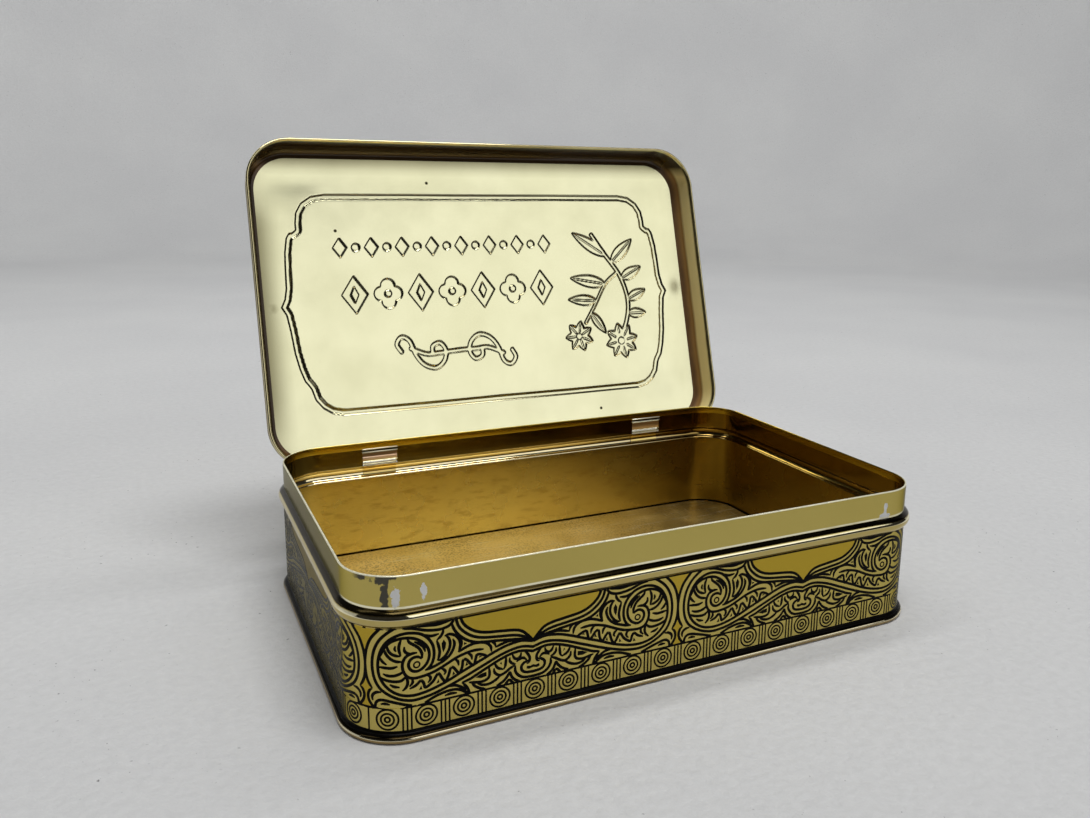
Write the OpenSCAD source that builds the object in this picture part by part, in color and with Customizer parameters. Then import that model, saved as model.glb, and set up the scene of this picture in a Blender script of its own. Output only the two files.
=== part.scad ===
// Hinged tin box with a lithographed body, made of folded tinplate.
// Millimetres. X is the width, Y runs from front to back and Z is up. The origin is the
// centre of the plane that the box stands on. The lid is drawn standing open on its stop.

/* [Body] */
// Width of the body over its side walls
body_w = 180; // [150:1:220]
// Depth of the body over its front and rear walls
body_d = 116; // [100:1:150]
// Height of the neck's top edge above the ground
body_h = 43.5; // [43:0.5:60]
// Outer radius of the body's upright corners
corner_r = 15; // [15:0.5:22]
// Thickness of the tinplate
sheet = 0.3; // [0.25:0.01:0.32]
// Height of the floor's upper face above the ground
floor_z = 2.6; // [2.5:0.05:3]

/* [Neck and bead] */
// Distance that the neck stands inside the body's wall
neck_inset = 0.3; // [0.2:0.05:0.5]
// Height of the hem folded inwards along the neck's top edge
hem_h = 2.5; // [1.5:0.1:3]
// Height of the middle of the bead that the lid stops above
bead_z = 32.5; // [32:0.1:34]
// Distance that the bead stands out from the body's wall
bead_out = 1.5; // [1.2:0.1:1.6]
// Height of the bead where it leaves the body's wall
bead_h = 4.5; // [4:0.1:4.6]

/* [Bottom seam] */
// Distance that the seam stands out from the body's wall
seam_out = 1.5; // [1.4:0.05:2]
// Height of the seam
seam_h = 1.9; // [1.7:0.05:2]
// Width of the seam where it rests on the ground, inside the body's wall
seam_in = 1.4; // [1.2:0.1:2]
// Height at which the body's foot starts to flare out to the seam
flare_z = 3.1; // [3.1:0.05:3.4]

/* [Lid] */
// Gap between the neck and the lid's skirt
lid_gap = 0.5; // [0.45:0.05:0.6]
// Height of the closed lid's curled edge above the ground
rim_z = 34.95; // [34.9:0.05:36]
// Height of the lid from its curled edge to its flat top
lid_h = 13.65; // [12:0.05:20]
// Rise of the lid's top from its shoulder to its flat middle
lid_rise = 1.2; // [0.5:0.1:2]
// Outer radius of the lid's shoulder
shoulder_r = 3; // [2:0.5:4]
// Width of the lid's sloping border, measured from the body's wall
border_w = 13; // [8:0.5:14]
// Radius of the curl along the lid's edge
curl_r = 0.5; // [0.4:0.05:0.6]
// Angle between the closed lid and the open lid
open_angle = 106.6; // [90:0.1:110]

/* [Hinges] */
// Distance of each hinge's middle from the box's middle
hinge_x = 54.4; // [40:0.1:60]
// Width of the window in the neck, and of the body leaf's knuckle in it
window_w = 12.4; // [10:0.1:14]
// Width of the lid leaf
lid_leaf_w = 18; // [17:0.5:20]
// Height of the lid leaf's top edge above the hinge axis
lid_leaf_h = 5.2; // [4:0.1:7]
// Distance of the hinge axis behind the neck's outer face
axis_back = 0.95; // [0.93:0.01:1.1]
// Height of the hinge axis above the ground
axis_z = 35.55; // [35.5:0.05:36]
// Radius of the hinge pin's wire
pin_r = 0.4; // [0.35:0.01:0.42]
// Thickness of the hinge leaves
leaf_t = 0.22; // [0.18:0.01:0.24]

/* [Hidden] */

// Facets that draw round shapes, in a full turn
$fn = 96;
// Steps that draw each bend of a section
bend_steps = 6;
// Amount by which a cutter passes through what it cuts
past = 1;
// Gap between two pieces that lie face to face in one assembly
face_gap = 0.03;
// Radial clearance of a hinge pin in its knuckle
pin_play = 0.04;
// Least gap between pieces that turn past each other
turn_gap = 0.3;

straight_w = body_w - 2 * corner_r;
straight_d = body_d - 2 * corner_r;

// Middle line of the body's sheet, as a distance outside the body's outer face
wall_mid = -sheet / 2;
neck_mid = -neck_inset - sheet / 2;
neck_face_y = body_d / 2 - neck_inset;

// The bead is an arc whose circle passes through both edges of the bead
bead_r = (pow(bead_h / 2, 2) + pow(bead_out, 2)) / (2 * bead_out);
bead_mid_r = bead_r - sheet / 2;
bead_x = bead_out - bead_r;
bead_low_angle = -acos((wall_mid - bead_x) / bead_mid_r);
bead_top_angle = acos((neck_mid - bead_x) / bead_mid_r);

// The foot flares out round one bend and turns down into the seam round another
flare_r = 1.05;
flare_turn = 60;
hook_r = 0.3;
hook_z = 0.6;
flare_c = [wall_mid + flare_r, flare_z];
hook_c = flare_c - (flare_r + hook_r) * [cos(flare_turn), sin(flare_turn)];

// Radius of the seam's outer edges
seam_round = 0.4;

hem_t = 2 * sheet + face_gap;
hem_x = -neck_inset - hem_t / 2;

// Heights of the closed lid's parts
lid_top_z = rim_z + lid_h;
shoulder_z = lid_top_z - lid_rise - shoulder_r;
lid_mid = -neck_inset + lid_gap + sheet / 2;
skirt_face_y = body_d / 2 - neck_inset + lid_gap + sheet;
curl_x = -neck_inset + lid_gap + curl_r;

axis_y = neck_face_y + axis_back;
bore_r = pin_r + pin_play;
knuckle_r = bore_r + leaf_t;
window_z = axis_z - knuckle_r - face_gap;
window_h = body_h - hem_h - window_z;
knuckle_w = window_w - 2 * turn_gap;
pin_l = lid_leaf_w;

// Line round an arc of a section, from one angle to another
function arc(c, r, from, to, n = bend_steps) =
    [for (i = [0:n]) let (a = from + (to - from) * i / n) c + r * [cos(a), sin(a)]];

function unit(v) = v / norm(v);
function left_of(v) = [-v.y, v.x];
function reversed(p) = [for (i = [len(p) - 1:-1:0]) p[i]];

// Direction across a line at one of its points, and long enough to keep the sheet's thickness
function across(p, i) =
    let (
        before = left_of(unit(p[max(i, 1)] - p[max(i, 1) - 1])),
        after = left_of(unit(p[min(i + 1, len(p) - 1)] - p[min(i, len(p) - 2)])),
        mean = unit(before + after)
    )
    mean / (mean * before);

function beside(p, d) = [for (i = [0:len(p) - 1]) p[i] + d * across(p, i)];

// A line without the points that repeat where two of its stretches meet
function tidy(p) = [for (i = [0:len(p) - 1]) if (i == 0 || norm(p[i] - p[i - 1]) > 0.001) p[i]];

// Section of a bent sheet whose middle follows a line
module sheet_section(line, t) {
    middle = tidy(line);
    polygon(concat(beside(middle, t / 2), reversed(beside(middle, -t / 2))));
}

// Carries a section round the box. In the section, X is the distance outside the body's
// wall and Y is the height.
module round_the_box() {
    for (end = [0, 1]) {
        rotate([0, 0, 180 * end])
            translate([body_w / 2, straight_d / 2, 0])
                rotate([90, 0, 0]) linear_extrude(straight_d) children();
        rotate([0, 0, 90 + 180 * end])
            translate([body_d / 2, straight_w / 2, 0])
                rotate([90, 0, 0]) linear_extrude(straight_w) children();
        rotate([0, 0, 180 * end]) {
            translate([straight_w / 2, straight_d / 2, 0])
                rotate_extrude(angle = 90) translate([corner_r, 0]) children();
            translate([-straight_w / 2, straight_d / 2, 0])
                rotate([0, 0, 90])
                    rotate_extrude(angle = 90) translate([corner_r, 0]) children();
        }
    }
}

// Flat plate with the box's outline, grown by a distance
module plate(grow, z, t) {
    r = corner_r + grow;
    translate([0, 0, z]) linear_extrude(t) {
        square([straight_w, straight_d + 2 * r], center = true);
        square([straight_w + 2 * r, straight_d], center = true);
        for (x = [-1, 1], y = [-1, 1])
            translate([x * straight_w / 2, y * straight_d / 2]) circle(r);
    }
}

// Section of the body's sheet from the seam, over the bead, to the hem on the neck
module wall_section() {
    foot = concat(
        [[hook_c.x + hook_r, hook_z]],
        arc(hook_c, hook_r, 0, flare_turn),
        arc(flare_c, flare_r, 180 + flare_turn, 180)
    );
    bead = arc([bead_x, bead_z], bead_mid_r, bead_low_angle, bead_top_angle, 2 * bend_steps);
    sheet_section(concat(foot, bead, [[neck_mid, body_h - hem_t / 2]]), sheet);
    translate([hem_x - hem_t / 2, body_h - hem_h]) square([hem_t, hem_h - hem_t / 2]);
    translate([hem_x, body_h - hem_t / 2]) circle(hem_t / 2);
}

// Opening in the rear of the neck for one hinge
module hinge_window(side) {
    translate([side * hinge_x - window_w / 2, neck_face_y - sheet - past, window_z])
        cube([window_w, sheet + 2 * past, window_h]);
}

module body_wall() {
    color([0.74, 0.60, 0.27]) difference() {
        round_the_box() wall_section();
        hinge_window(-1);
        hinge_window(1);
    }
}

// Section of the folded seam: a channel that holds the foot of the body's wall
module seam_section() {
    slot = sheet / 2 + face_gap;
    slot_x = hook_c.x + hook_r;
    floor_angle = asin((flare_z - floor_z) / (flare_r + slot));
    under = beside(tidy(concat(
        arc(flare_c, flare_r, 180 + floor_angle, 180 + flare_turn),
        arc(hook_c, hook_r, flare_turn, 0)
    )), -slot);
    polygon(concat(
        [[-seam_in, 0], [-seam_in - sheet, sheet], [-seam_in - sheet, floor_z]],
        under,
        [[slot_x - slot, hook_z - face_gap], [slot_x + slot, hook_z - face_gap]],
        [[slot_x + slot, seam_h]],
        arc([seam_out - seam_round, seam_h - seam_round], seam_round, 90, 0),
        arc([seam_out - seam_round, seam_round], seam_round, 0, -90)
    ));
}

module bottom_plate() {
    color([0.55, 0.42, 0.22]) {
        round_the_box() seam_section();
        plate(-seam_in, floor_z - sheet, sheet);
    }
}

// Section of the lid: a curled edge, the skirt, the shoulder and the sloping border
module lid_section() {
    shoulder_c = [lid_mid + sheet / 2 - shoulder_r, shoulder_z];
    slope = atan2(lid_rise, border_w + shoulder_c.x);
    sheet_section(concat(
        [[lid_mid, rim_z + curl_r]],
        arc(shoulder_c, shoulder_r - sheet / 2, 0, 90 - slope, 2 * bend_steps),
        [[-border_w, lid_top_z - sheet / 2]]
    ), sheet);
    translate([curl_x, rim_z + curl_r]) circle(curl_r);
}

// Turns a piece of the closed lid about the hinge axis to where the open lid stands
module opened() {
    translate([0, axis_y, axis_z]) rotate([-open_angle, 0, 0])
        translate([0, -axis_y, -axis_z]) children();
}

// Gap in the lid's curl for one hinge
module curl_gap(side) {
    gap_w = lid_leaf_w + 2 * turn_gap;
    gap_top = axis_z + knuckle_r + turn_gap;
    translate([side * hinge_x - gap_w / 2, body_d / 2 - neck_inset, rim_z - past])
        cube([gap_w, 2 * past + lid_gap + 2 * curl_r, gap_top - rim_z + past]);
}

module lid() {
    color([0.87, 0.83, 0.62]) opened() difference() {
        union() {
            round_the_box() lid_section();
            plate(-border_w, lid_top_z - sheet, sheet);
        }
        curl_gap(-1);
        curl_gap(1);
    }
}

// Solid along X, centred on a hinge, from a section in the Y and Z directions
module across_hinge(side, w) {
    translate([side * hinge_x - w / 2, 0, 0])
        rotate([90, 0, 90]) linear_extrude(w) children();
}

// Rolled knuckle about the hinge axis
module knuckle(x, w) {
    translate([x - w / 2, axis_y, axis_z]) rotate([0, 90, 0]) difference() {
        cylinder(h = w, r = knuckle_r);
        translate([0, 0, -past]) cylinder(h = w + 2 * past, r = bore_r);
    }
}

// Leaf that passes from its knuckle through the window and down into the bead's hollow
module body_hinge(side) {
    leaf_mid_r = bead_r - sheet - face_gap - leaf_t / 2;
    bead_c = [body_d / 2 + bead_x, bead_z];
    inside_y = neck_face_y - sheet - face_gap - leaf_t / 2;
    start_angle = acos((inside_y - bead_c.x) / leaf_mid_r);
    end_angle = -45;
    tail_z = axis_z - knuckle_r + leaf_t / 2;
    bend_r = 0.2;
    color([0.80, 0.78, 0.70]) {
        knuckle(side * hinge_x, knuckle_w);
        across_hinge(side, knuckle_w) sheet_section(concat(
            [[axis_y, tail_z]],
            arc([inside_y + bend_r, tail_z - bend_r], bend_r, 90, 180),
            arc(bead_c, leaf_mid_r, start_angle, end_angle, 2 * bend_steps)
        ), leaf_t);
    }
}

// Leaf on the outside of the lid's skirt, with a knuckle at each end of the body's one
module lid_hinge(side) {
    flank_w = (lid_leaf_w - knuckle_w) / 2 - turn_gap;
    flank_x = (lid_leaf_w - flank_w) / 2;
    relief_h = knuckle_r + turn_gap;
    color([0.80, 0.78, 0.70]) opened() {
        for (end = [-1, 1]) {
            knuckle(side * hinge_x + end * flank_x, flank_w);
            translate([side * hinge_x + end * flank_x - flank_w / 2,
                       skirt_face_y + face_gap, axis_z + bore_r])
                cube([flank_w, leaf_t, lid_leaf_h - bore_r]);
        }
        translate([side * hinge_x - lid_leaf_w / 2, skirt_face_y + face_gap, axis_z + relief_h])
            cube([lid_leaf_w, leaf_t, lid_leaf_h - relief_h]);
    }
}

// Wire that both leaves of one hinge turn about
module hinge_pin(side) {
    color([0.70, 0.68, 0.62])
        translate([side * hinge_x - pin_l / 2, axis_y, axis_z])
            rotate([0, 90, 0]) cylinder(h = pin_l, r = pin_r);
}

body_wall();
bottom_plate();
lid();
body_hinge(-1);  // body_hinge_left
body_hinge(1);  // body_hinge_right
lid_hinge(-1);  // lid_hinge_left
lid_hinge(1);  // lid_hinge_right
hinge_pin(-1);  // hinge_pin_left
hinge_pin(1);  // hinge_pin_right
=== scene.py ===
"""Looks of the lithographed tin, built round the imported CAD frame.

Lengths are millimetres until a mesh is made, which is in metres, in the CAD model's own frame.
s runs round the body's wall from the middle of the front, to the right, and z is the height.
"""
import math

import bmesh
import bpy
import numpy as np
from mathutils import Matrix, Vector, geometry


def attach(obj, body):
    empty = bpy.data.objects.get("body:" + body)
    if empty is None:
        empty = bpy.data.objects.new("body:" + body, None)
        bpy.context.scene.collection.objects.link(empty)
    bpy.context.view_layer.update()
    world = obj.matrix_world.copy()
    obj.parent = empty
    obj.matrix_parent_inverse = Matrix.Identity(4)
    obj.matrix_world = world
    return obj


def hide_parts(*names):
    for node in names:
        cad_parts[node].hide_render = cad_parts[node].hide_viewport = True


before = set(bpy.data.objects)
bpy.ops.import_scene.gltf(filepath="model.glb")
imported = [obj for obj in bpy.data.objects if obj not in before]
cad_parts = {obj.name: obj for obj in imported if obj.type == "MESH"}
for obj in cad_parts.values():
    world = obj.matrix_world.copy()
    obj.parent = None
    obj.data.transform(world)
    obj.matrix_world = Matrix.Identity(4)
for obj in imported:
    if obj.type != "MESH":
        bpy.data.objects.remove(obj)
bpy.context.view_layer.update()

MM = 0.001

# Body
BODY_W, BODY_D, BODY_H = 180.0, 116.0, 43.5
CORNER_R = 15.0
SHEET = 0.3
NECK_INSET = 0.3
HEM_H, HEM_T = 2.5, 0.63
BEAD_Z, BEAD_OUT, BEAD_H = 32.5, 1.5, 4.5
FLOOR_Z = 2.6

# Foot and seam
SEAM_OUT, SEAM_H, SEAM_IN = 1.5, 1.9, 1.4
FLARE_Z, FLARE_R, FLARE_TURN = 3.1, 1.05, 60.0
HOOK_R, HOOK_Z = 0.3, 0.6

# Lid, as it stands closed
LID_GAP = 0.5
RIM_Z, LID_H, LID_RISE = 34.95, 13.65, 1.2
SHOULDER_R = 3.0
CURL_R = 0.5
OPEN_ANGLE = 106.6

# Hinges
HINGE_X, WINDOW_W, LEAF_W = 54.4, 12.4, 18.0
AXIS_Y = BODY_D / 2 - NECK_INSET + 0.95
AXIS_Z = 35.55
KNUCKLE_R = 0.66
WINDOW_Z = AXIS_Z - KNUCKLE_R - 0.03
TURN_GAP = 0.3

STRAIGHT_W = BODY_W - 2 * CORNER_R
STRAIGHT_D = BODY_D - 2 * CORNER_R
CORNER_L = CORNER_R * math.pi / 2
PERIMETER = 2 * STRAIGHT_W + 2 * STRAIGHT_D + 4 * CORNER_L

# The wall's stretches in turn from the middle of the front, on the line through the corners' centres:
# start, end, length, and the angle that it faces. A corner starts and ends in one point, and turns by 90.
LEGS = []
leg_start = front_middle = (0, -STRAIGHT_D / 2)
for quarter, (side_x, side_y) in enumerate(((1, -1), (1, 1), (-1, 1), (-1, -1))):
    corner = (side_x * STRAIGHT_W / 2, side_y * STRAIGHT_D / 2)
    LEGS.append((leg_start, corner, math.dist(leg_start, corner), 90 * quarter - 90))
    LEGS.append((corner, corner, CORNER_L, 90 * quarter - 90))
    leg_start = corner
LEGS.append((leg_start, front_middle, STRAIGHT_W / 2, 270))


# ---------------------------------------------------------------- lines and sections

def arc(centre, radius, start, end, steps=8):
    """Points along an arc, with angles in degrees."""
    angles = np.radians(np.linspace(start, end, steps + 1))
    return [(centre[0] + radius * math.cos(a), centre[1] + radius * math.sin(a)) for a in angles]


def tidy(line):
    """The line without points that repeat."""
    kept = [line[0]]
    for p in line[1:]:
        if math.dist(p, kept[-1]) > 1e-4:
            kept.append(p)
    return kept


def beside(line, distance):
    """A line that runs beside another, to its left."""
    p = np.array(tidy(line), float)
    step = np.diff(p, axis=0)
    step /= np.linalg.norm(step, axis=1)[:, None]
    before = np.vstack([step[:1], step])
    after = np.vstack([step, step[-1:]])
    mean = before + after
    mean /= np.linalg.norm(mean, axis=1)[:, None]
    stretch = 1 / np.maximum((mean * before).sum(1), 0.5)
    left = np.stack([-mean[:, 1], mean[:, 0]], 1) * stretch[:, None]
    return [tuple(q) for q in p + distance * left]


def smooth(points, steps=6):
    """A curve through given points."""
    if len(points) < 3:
        return list(points)
    p = np.array(points, float)
    p = np.vstack([2 * p[0] - p[1], p, 2 * p[-1] - p[-2]])
    t = np.linspace(0, 1, steps, endpoint=False)[:, None]
    line = []
    for a, b, c, d in zip(p, p[1:], p[2:], p[3:]):
        square = (2 * a - 5 * b + 4 * c - d) * t**2
        line.extend(0.5 * (2 * b + (c - a) * t + square + (3 * b - a - 3 * c + d) * t**3))
    line.append(p[-2])
    return [tuple(q) for q in line]


def round_the_box(s):
    """For each s: the point on the line through the corners' centres, and the outward normal."""
    s = np.asarray(s, float) % PERIMETER
    centre, turn = np.zeros((len(s), 2)), np.zeros(len(s))
    start = 0.0
    for first, last, length, angle in LEGS:
        here = (s >= start - 1e-9) & (s <= start + length + 1e-9)
        part = ((s[here] - start) / length)[:, None]
        if first == last:
            centre[here] = first
            turn[here] = angle + 90 * part[:, 0]
        else:
            centre[here] = np.array(first) * (1 - part) + np.array(last) * part
            turn[here] = angle
        start += length
    turn = np.radians(turn)
    return centre, np.stack([np.cos(turn), np.sin(turn)], 1)


def wall_points(s, out, z):
    """Points of the frame, in mm, from places on the wall and distances outside its outer face."""
    centre, normal = round_the_box(s)
    xy = centre + normal * (CORNER_R + np.asarray(out, float))[:, None]
    return np.column_stack([xy, np.broadcast_to(z, len(xy))])


def stations(straight_step, corner_steps, extra=()):
    """Places round the wall: evenly spaced on the straights and through each corner."""
    marks, start = [], 0.0
    for first, last, length, _ in LEGS:
        n = corner_steps if first == last else round(length / straight_step)
        marks.extend(start + length * np.arange(n) / n)
        start += length
    marks = [m for m in marks if all(abs(m - e) > 0.4 for e in extra)]
    return np.array(sorted(marks + list(extra)))


# ---------------------------------------------------------------- meshes

def add_mesh(name, points_mm, faces, materials, slots=None, sharp=40, smooth_faces=True):
    """A new object from points in millimetres."""
    mesh = bpy.data.meshes.new(name)
    mesh.from_pydata((np.asarray(points_mm, float) * MM).tolist(), [], [list(f) for f in faces])
    for material in materials:
        mesh.materials.append(material)
    if slots is not None:
        mesh.polygons.foreach_set("material_index", np.asarray(slots, np.int32))
    if smooth_faces:
        mesh.polygons.foreach_set("use_smooth", np.ones(len(mesh.polygons), bool))
        mesh.set_sharp_from_angle(angle=math.radians(sharp))
    mesh.update()
    piece = bpy.data.objects.new(name, mesh)
    bpy.context.scene.collection.objects.link(piece)
    return piece


def grid_faces(rows, columns, closed):
    """Faces between rows of points, with each row closed into a loop or left open."""
    faces = []
    for i in range(rows - 1):
        for j in range(columns if closed else columns - 1):
            a, b = i * columns + j, i * columns + (j + 1) % columns
            faces.append((a, b, b + columns, a + columns))
    return faces


def turned(profile, angles):
    """Points of a profile of radius and height, turned about the upright axis."""
    return [(r * math.cos(a), r * math.sin(a), z) for r, z in profile for a in angles]


def swept_ring(section, slots, places):
    """Points, faces and material slots of a closed section swept all round the box, at the given places."""
    n, m = len(places), len(section)
    out = np.array([p[0] for p in section])
    z = np.array([p[1] for p in section])
    centre, normal = round_the_box(places)
    xy = centre[:, None, :] + normal[:, None, :] * (CORNER_R + out)[None, :, None]
    points = np.concatenate([xy, np.broadcast_to(z[None, :, None], (n, m, 1))], 2).reshape(-1, 3)
    faces, kinds = [], []
    for i in range(n):
        for j in range(m):
            k = (j + 1) % m
            faces.append((i * m + j, ((i + 1) % n) * m + j, ((i + 1) % n) * m + k, i * m + k))
            kinds.append(slots[j])
    return points, faces, kinds


# What capped() says of each face
SWEEP, UPPER, LOWER = range(3)


def capped(section, places, inner, height):
    """A thin shell: an open section swept round the box, with a cover over each of its two ends.

    The cover lies at the given height of x and y, and again one sheet below it.
    Gives the points, the faces, and whether each face is SWEEP, UPPER or LOWER.
    """
    n, m = len(places), len(section)
    points, faces, _ = swept_ring(section, [0] * m, places)
    ring = points.reshape(n, m, 3)
    faces = [f for f in faces if f[0] % m != m - 1]
    kinds = [SWEEP] * len(faces)
    rim = ring[:, 0, :2]
    loop = [(i, (i + 1) % n) for i in range(n)]
    corners = [Vector(p) for p in rim] + [Vector(p) for p in inner]
    made = geometry.delaunay_2d_cdt(corners, loop, [list(range(n))], 1, 1e-6, True)
    origin = {i: sources[0] for i, sources in enumerate(made[3]) if sources}
    cover = [[origin[i] for i in t] for t in made[2] if all(i in origin for i in t)]
    z = height(inner[:, 0], inner[:, 1])
    k, g = len(points), len(inner)
    points = np.vstack([points, np.column_stack([inner, z]), np.column_stack([inner, z - SHEET])])
    for t in cover:
        faces.append([i * m if i < n else k + i - n for i in t])
        faces.append([i * m + m - 1 if i < n else k + g + i - n for i in reversed(t)])
        kinds += [UPPER, LOWER]
    return points, faces, kinds


# ---------------------------------------------------------------- camera and studio

def make_camera():
    """The camera stands in front of the tin, to its left and a little above it."""
    place = Vector((-0.1306, -0.2607, 0.1364))
    aim = Vector((-0.0023, 0.0034, 0.0749))
    data = bpy.data.cameras.new("camera")
    data.sensor_width = 36
    data.lens = 30.82
    data.shift_x = -0.0311
    data.shift_y = -0.0338
    lean = Matrix.Rotation(math.radians(0.84), 4, "Z")
    camera = bpy.data.objects.new("camera", data)
    look = (aim - place).to_track_quat("-Z", "Y").to_matrix().to_4x4()
    camera.matrix_world = Matrix.Translation(place) @ look @ lean
    bpy.context.scene.collection.objects.link(camera)
    bpy.context.scene.camera = camera


def make_floor():
    """A pale round floor that curves up into a low wall far from the tin."""
    flat, bend, top = 1300.0, 600.0, 900.0
    profile = [(r, 0.0) for r in (0.0, 60.0, 150.0, 300.0, 500.0, 800.0)]
    rise = np.radians(np.linspace(0, 90, 16))
    profile += [(flat + bend * math.sin(a), bend * (1 - math.cos(a))) for a in rise]
    profile += [(flat + bend, top)]
    turns = 96
    angles = 2 * math.pi * np.arange(turns) / turns
    faces = grid_faces(len(profile), turns, True)
    floor = add_mesh("floor", turned(profile, angles), faces, [floor_plaster()])


def make_lights():
    """Soft light from above and from the camera's right, in a room that is dark elsewhere."""
    bpy.context.scene.view_settings.view_transform = "Standard"
    world = bpy.data.worlds.new("studio")
    bpy.context.scene.world = world
    world.use_nodes = True
    background = world.node_tree.nodes["Background"]
    background.inputs["Color"].default_value = (0.9, 0.95, 1.0, 1)
    background.inputs["Strength"].default_value = 0.10
    softbox("overhead", (0.05, -0.35, 1.55), (0, 0.1, 0), (1.05, 0.42), 12.5)
    softbox("window", (0.43, -0.98, 0.56), (0, 0.075, 0.09), (1.0, 0.66), 2.1)
    softbox("backdrop", (0.0, 0.3, 1.3), (0, 1.75, 0.2), (2.2, 0.4), 11.3)
    make_flag()


def make_flag():
    """Dark boards on the far floor and upright round the camera, which only show in reflections."""
    near, radius, top, steps = 430.0, 1250.0, 1500.0, 32
    angles = np.radians(np.linspace(-175, -5, steps + 1))
    profile = [(near, 1.0), (radius, 3.0), (radius, top)]
    faces = grid_faces(len(profile), len(angles), False)
    r = Recipe("dark_board", roughness=0.9)
    r.set("Base Color", r.mix(r.noise(60), (0.015, 0.013, 0.012), (0.03, 0.027, 0.024)))
    flag = add_mesh("flag", turned(profile, angles), faces, [r.material], smooth_faces=False)
    flag.visible_camera = False
    flag.visible_diffuse = False
    flag.visible_shadow = False


def softbox(name, place, aim, size, power):
    """A rectangular lamp that faces a point."""
    data = bpy.data.lights.new(name, "AREA")
    data.shape = "RECTANGLE"
    data.size, data.size_y = size
    data.energy = power
    lamp = bpy.data.objects.new(name, data)
    lamp.location = place
    lamp.rotation_euler = (Vector(aim) - Vector(place)).to_track_quat("-Z", "Y").to_euler()
    bpy.context.scene.collection.objects.link(lamp)


# ---------------------------------------------------------------- materials

class Recipe:
    """A node material with one Principled shader. Patterns are laid out in millimetres."""

    def __init__(self, name, metallic=0.0, roughness=0.4):
        self.material = bpy.data.materials.new(name)
        self.material.use_nodes = True
        self.tree = self.material.node_tree
        self.shader = self.tree.nodes["Principled BSDF"]
        self.set("Metallic", metallic)
        self.set("Roughness", roughness)

    def put(self, socket, value):
        """Sets a socket to a constant, or links it to another node's socket."""
        if isinstance(value, bpy.types.NodeSocket):
            self.tree.links.new(value, socket)
        else:
            socket.default_value = value

    def set(self, name, value):
        self.put(self.shader.inputs[name], value)

    def node(self, kind, inputs=(), **settings):
        made = self.tree.nodes.new(kind)
        for key, value in settings.items():
            setattr(made, key, value)
        for key, value in dict(inputs).items():
            self.put(made.inputs[key], value)
        return made

    def place(self, stretch=(1, 1, 1), shift=(0, 0, 0)):
        """Object coordinates in millimetres, divided by a stretch along each axis."""
        coordinates = self.node("ShaderNodeTexCoord").outputs["Object"]
        scale = [1 / (MM * v) for v in stretch]
        mapping = {"Vector": coordinates, "Scale": scale, "Location": shift}
        return self.node("ShaderNodeMapping", mapping).outputs[0]

    def axes(self):
        """The place's X, Y and Z, in millimetres."""
        return self.node("ShaderNodeSeparateXYZ", {0: self.place()}).outputs

    def attribute(self, name):
        return self.node("ShaderNodeAttribute", attribute_name=name).outputs["Fac"]

    def noise(self, size, detail=2.0, stretch=(1, 1, 1), shift=(0, 0, 0), roughness=0.5):
        place = self.place(stretch, shift)
        settings = {"Vector": place, "Scale": 1 / size, "Detail": detail, "Roughness": roughness}
        return self.node("ShaderNodeTexNoise", settings).outputs["Fac"]

    def between(self, value, low, high, new_low=0.0, new_high=1.0):
        """Carries the range from low to high over to the new range, and stops at its ends."""
        settings = {"Value": value, "From Min": low, "From Max": high, "To Min": new_low, "To Max": new_high}
        return self.node("ShaderNodeMapRange", settings, clamp=True).outputs[0]

    def math(self, operation, a, b):
        return self.node("ShaderNodeMath", {0: a, 1: b}, operation=operation).outputs[0]

    def times(self, a, b):
        return self.math("MULTIPLY", a, b)

    def most(self, a, b):
        return self.math("MAXIMUM", a, b)

    def mix(self, factor, a, b):
        a, b = ((*c, 1) if isinstance(c, tuple) else c for c in (a, b))
        return self.node("ShaderNodeMix", {0: factor, 6: a, 7: b}, data_type="RGBA").outputs[2]

    def paint(self, factor, colour):
        """Lays a colour over the base colour."""
        base = self.shader.inputs["Base Color"].links[0].from_socket
        self.set("Base Color", self.mix(factor, base, colour))

    def bump(self, height, depth):
        """Bump of a height from 0 to 1 that stands for a depth in millimetres."""
        self.set("Normal", self.node("ShaderNodeBump", {"Height": height, "Distance": depth * MM}).outputs[0])


def floor_plaster():
    """Pale plaster, with faint clouding and a few dark specks."""
    r = Recipe("pale_plaster", roughness=0.75)
    grain = r.noise(3.0, 4)
    clouds = r.between(r.noise(180, 3), 0.35, 0.65)
    r.set("Base Color", r.mix(clouds, (0.69, 0.69, 0.69), (0.73, 0.73, 0.725)))
    r.paint(r.between(grain, 0.3, 0.7, 0, 0.2), (0.5, 0.5, 0.5))
    specks = r.between(r.noise(4.5, 5, roughness=0.7), 0.69, 0.73)
    pits = r.between(r.noise(1.7, 2), 0.71, 0.74)
    patches = r.between(r.noise(60, 2, shift=(3, 1, 0)), 0.5, 0.62)
    specks = r.most(specks, r.times(pits, patches))
    r.paint(r.times(specks, 0.75), (0.06, 0.06, 0.06))
    r.bump(grain, 0.5)
    return r.material


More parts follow.
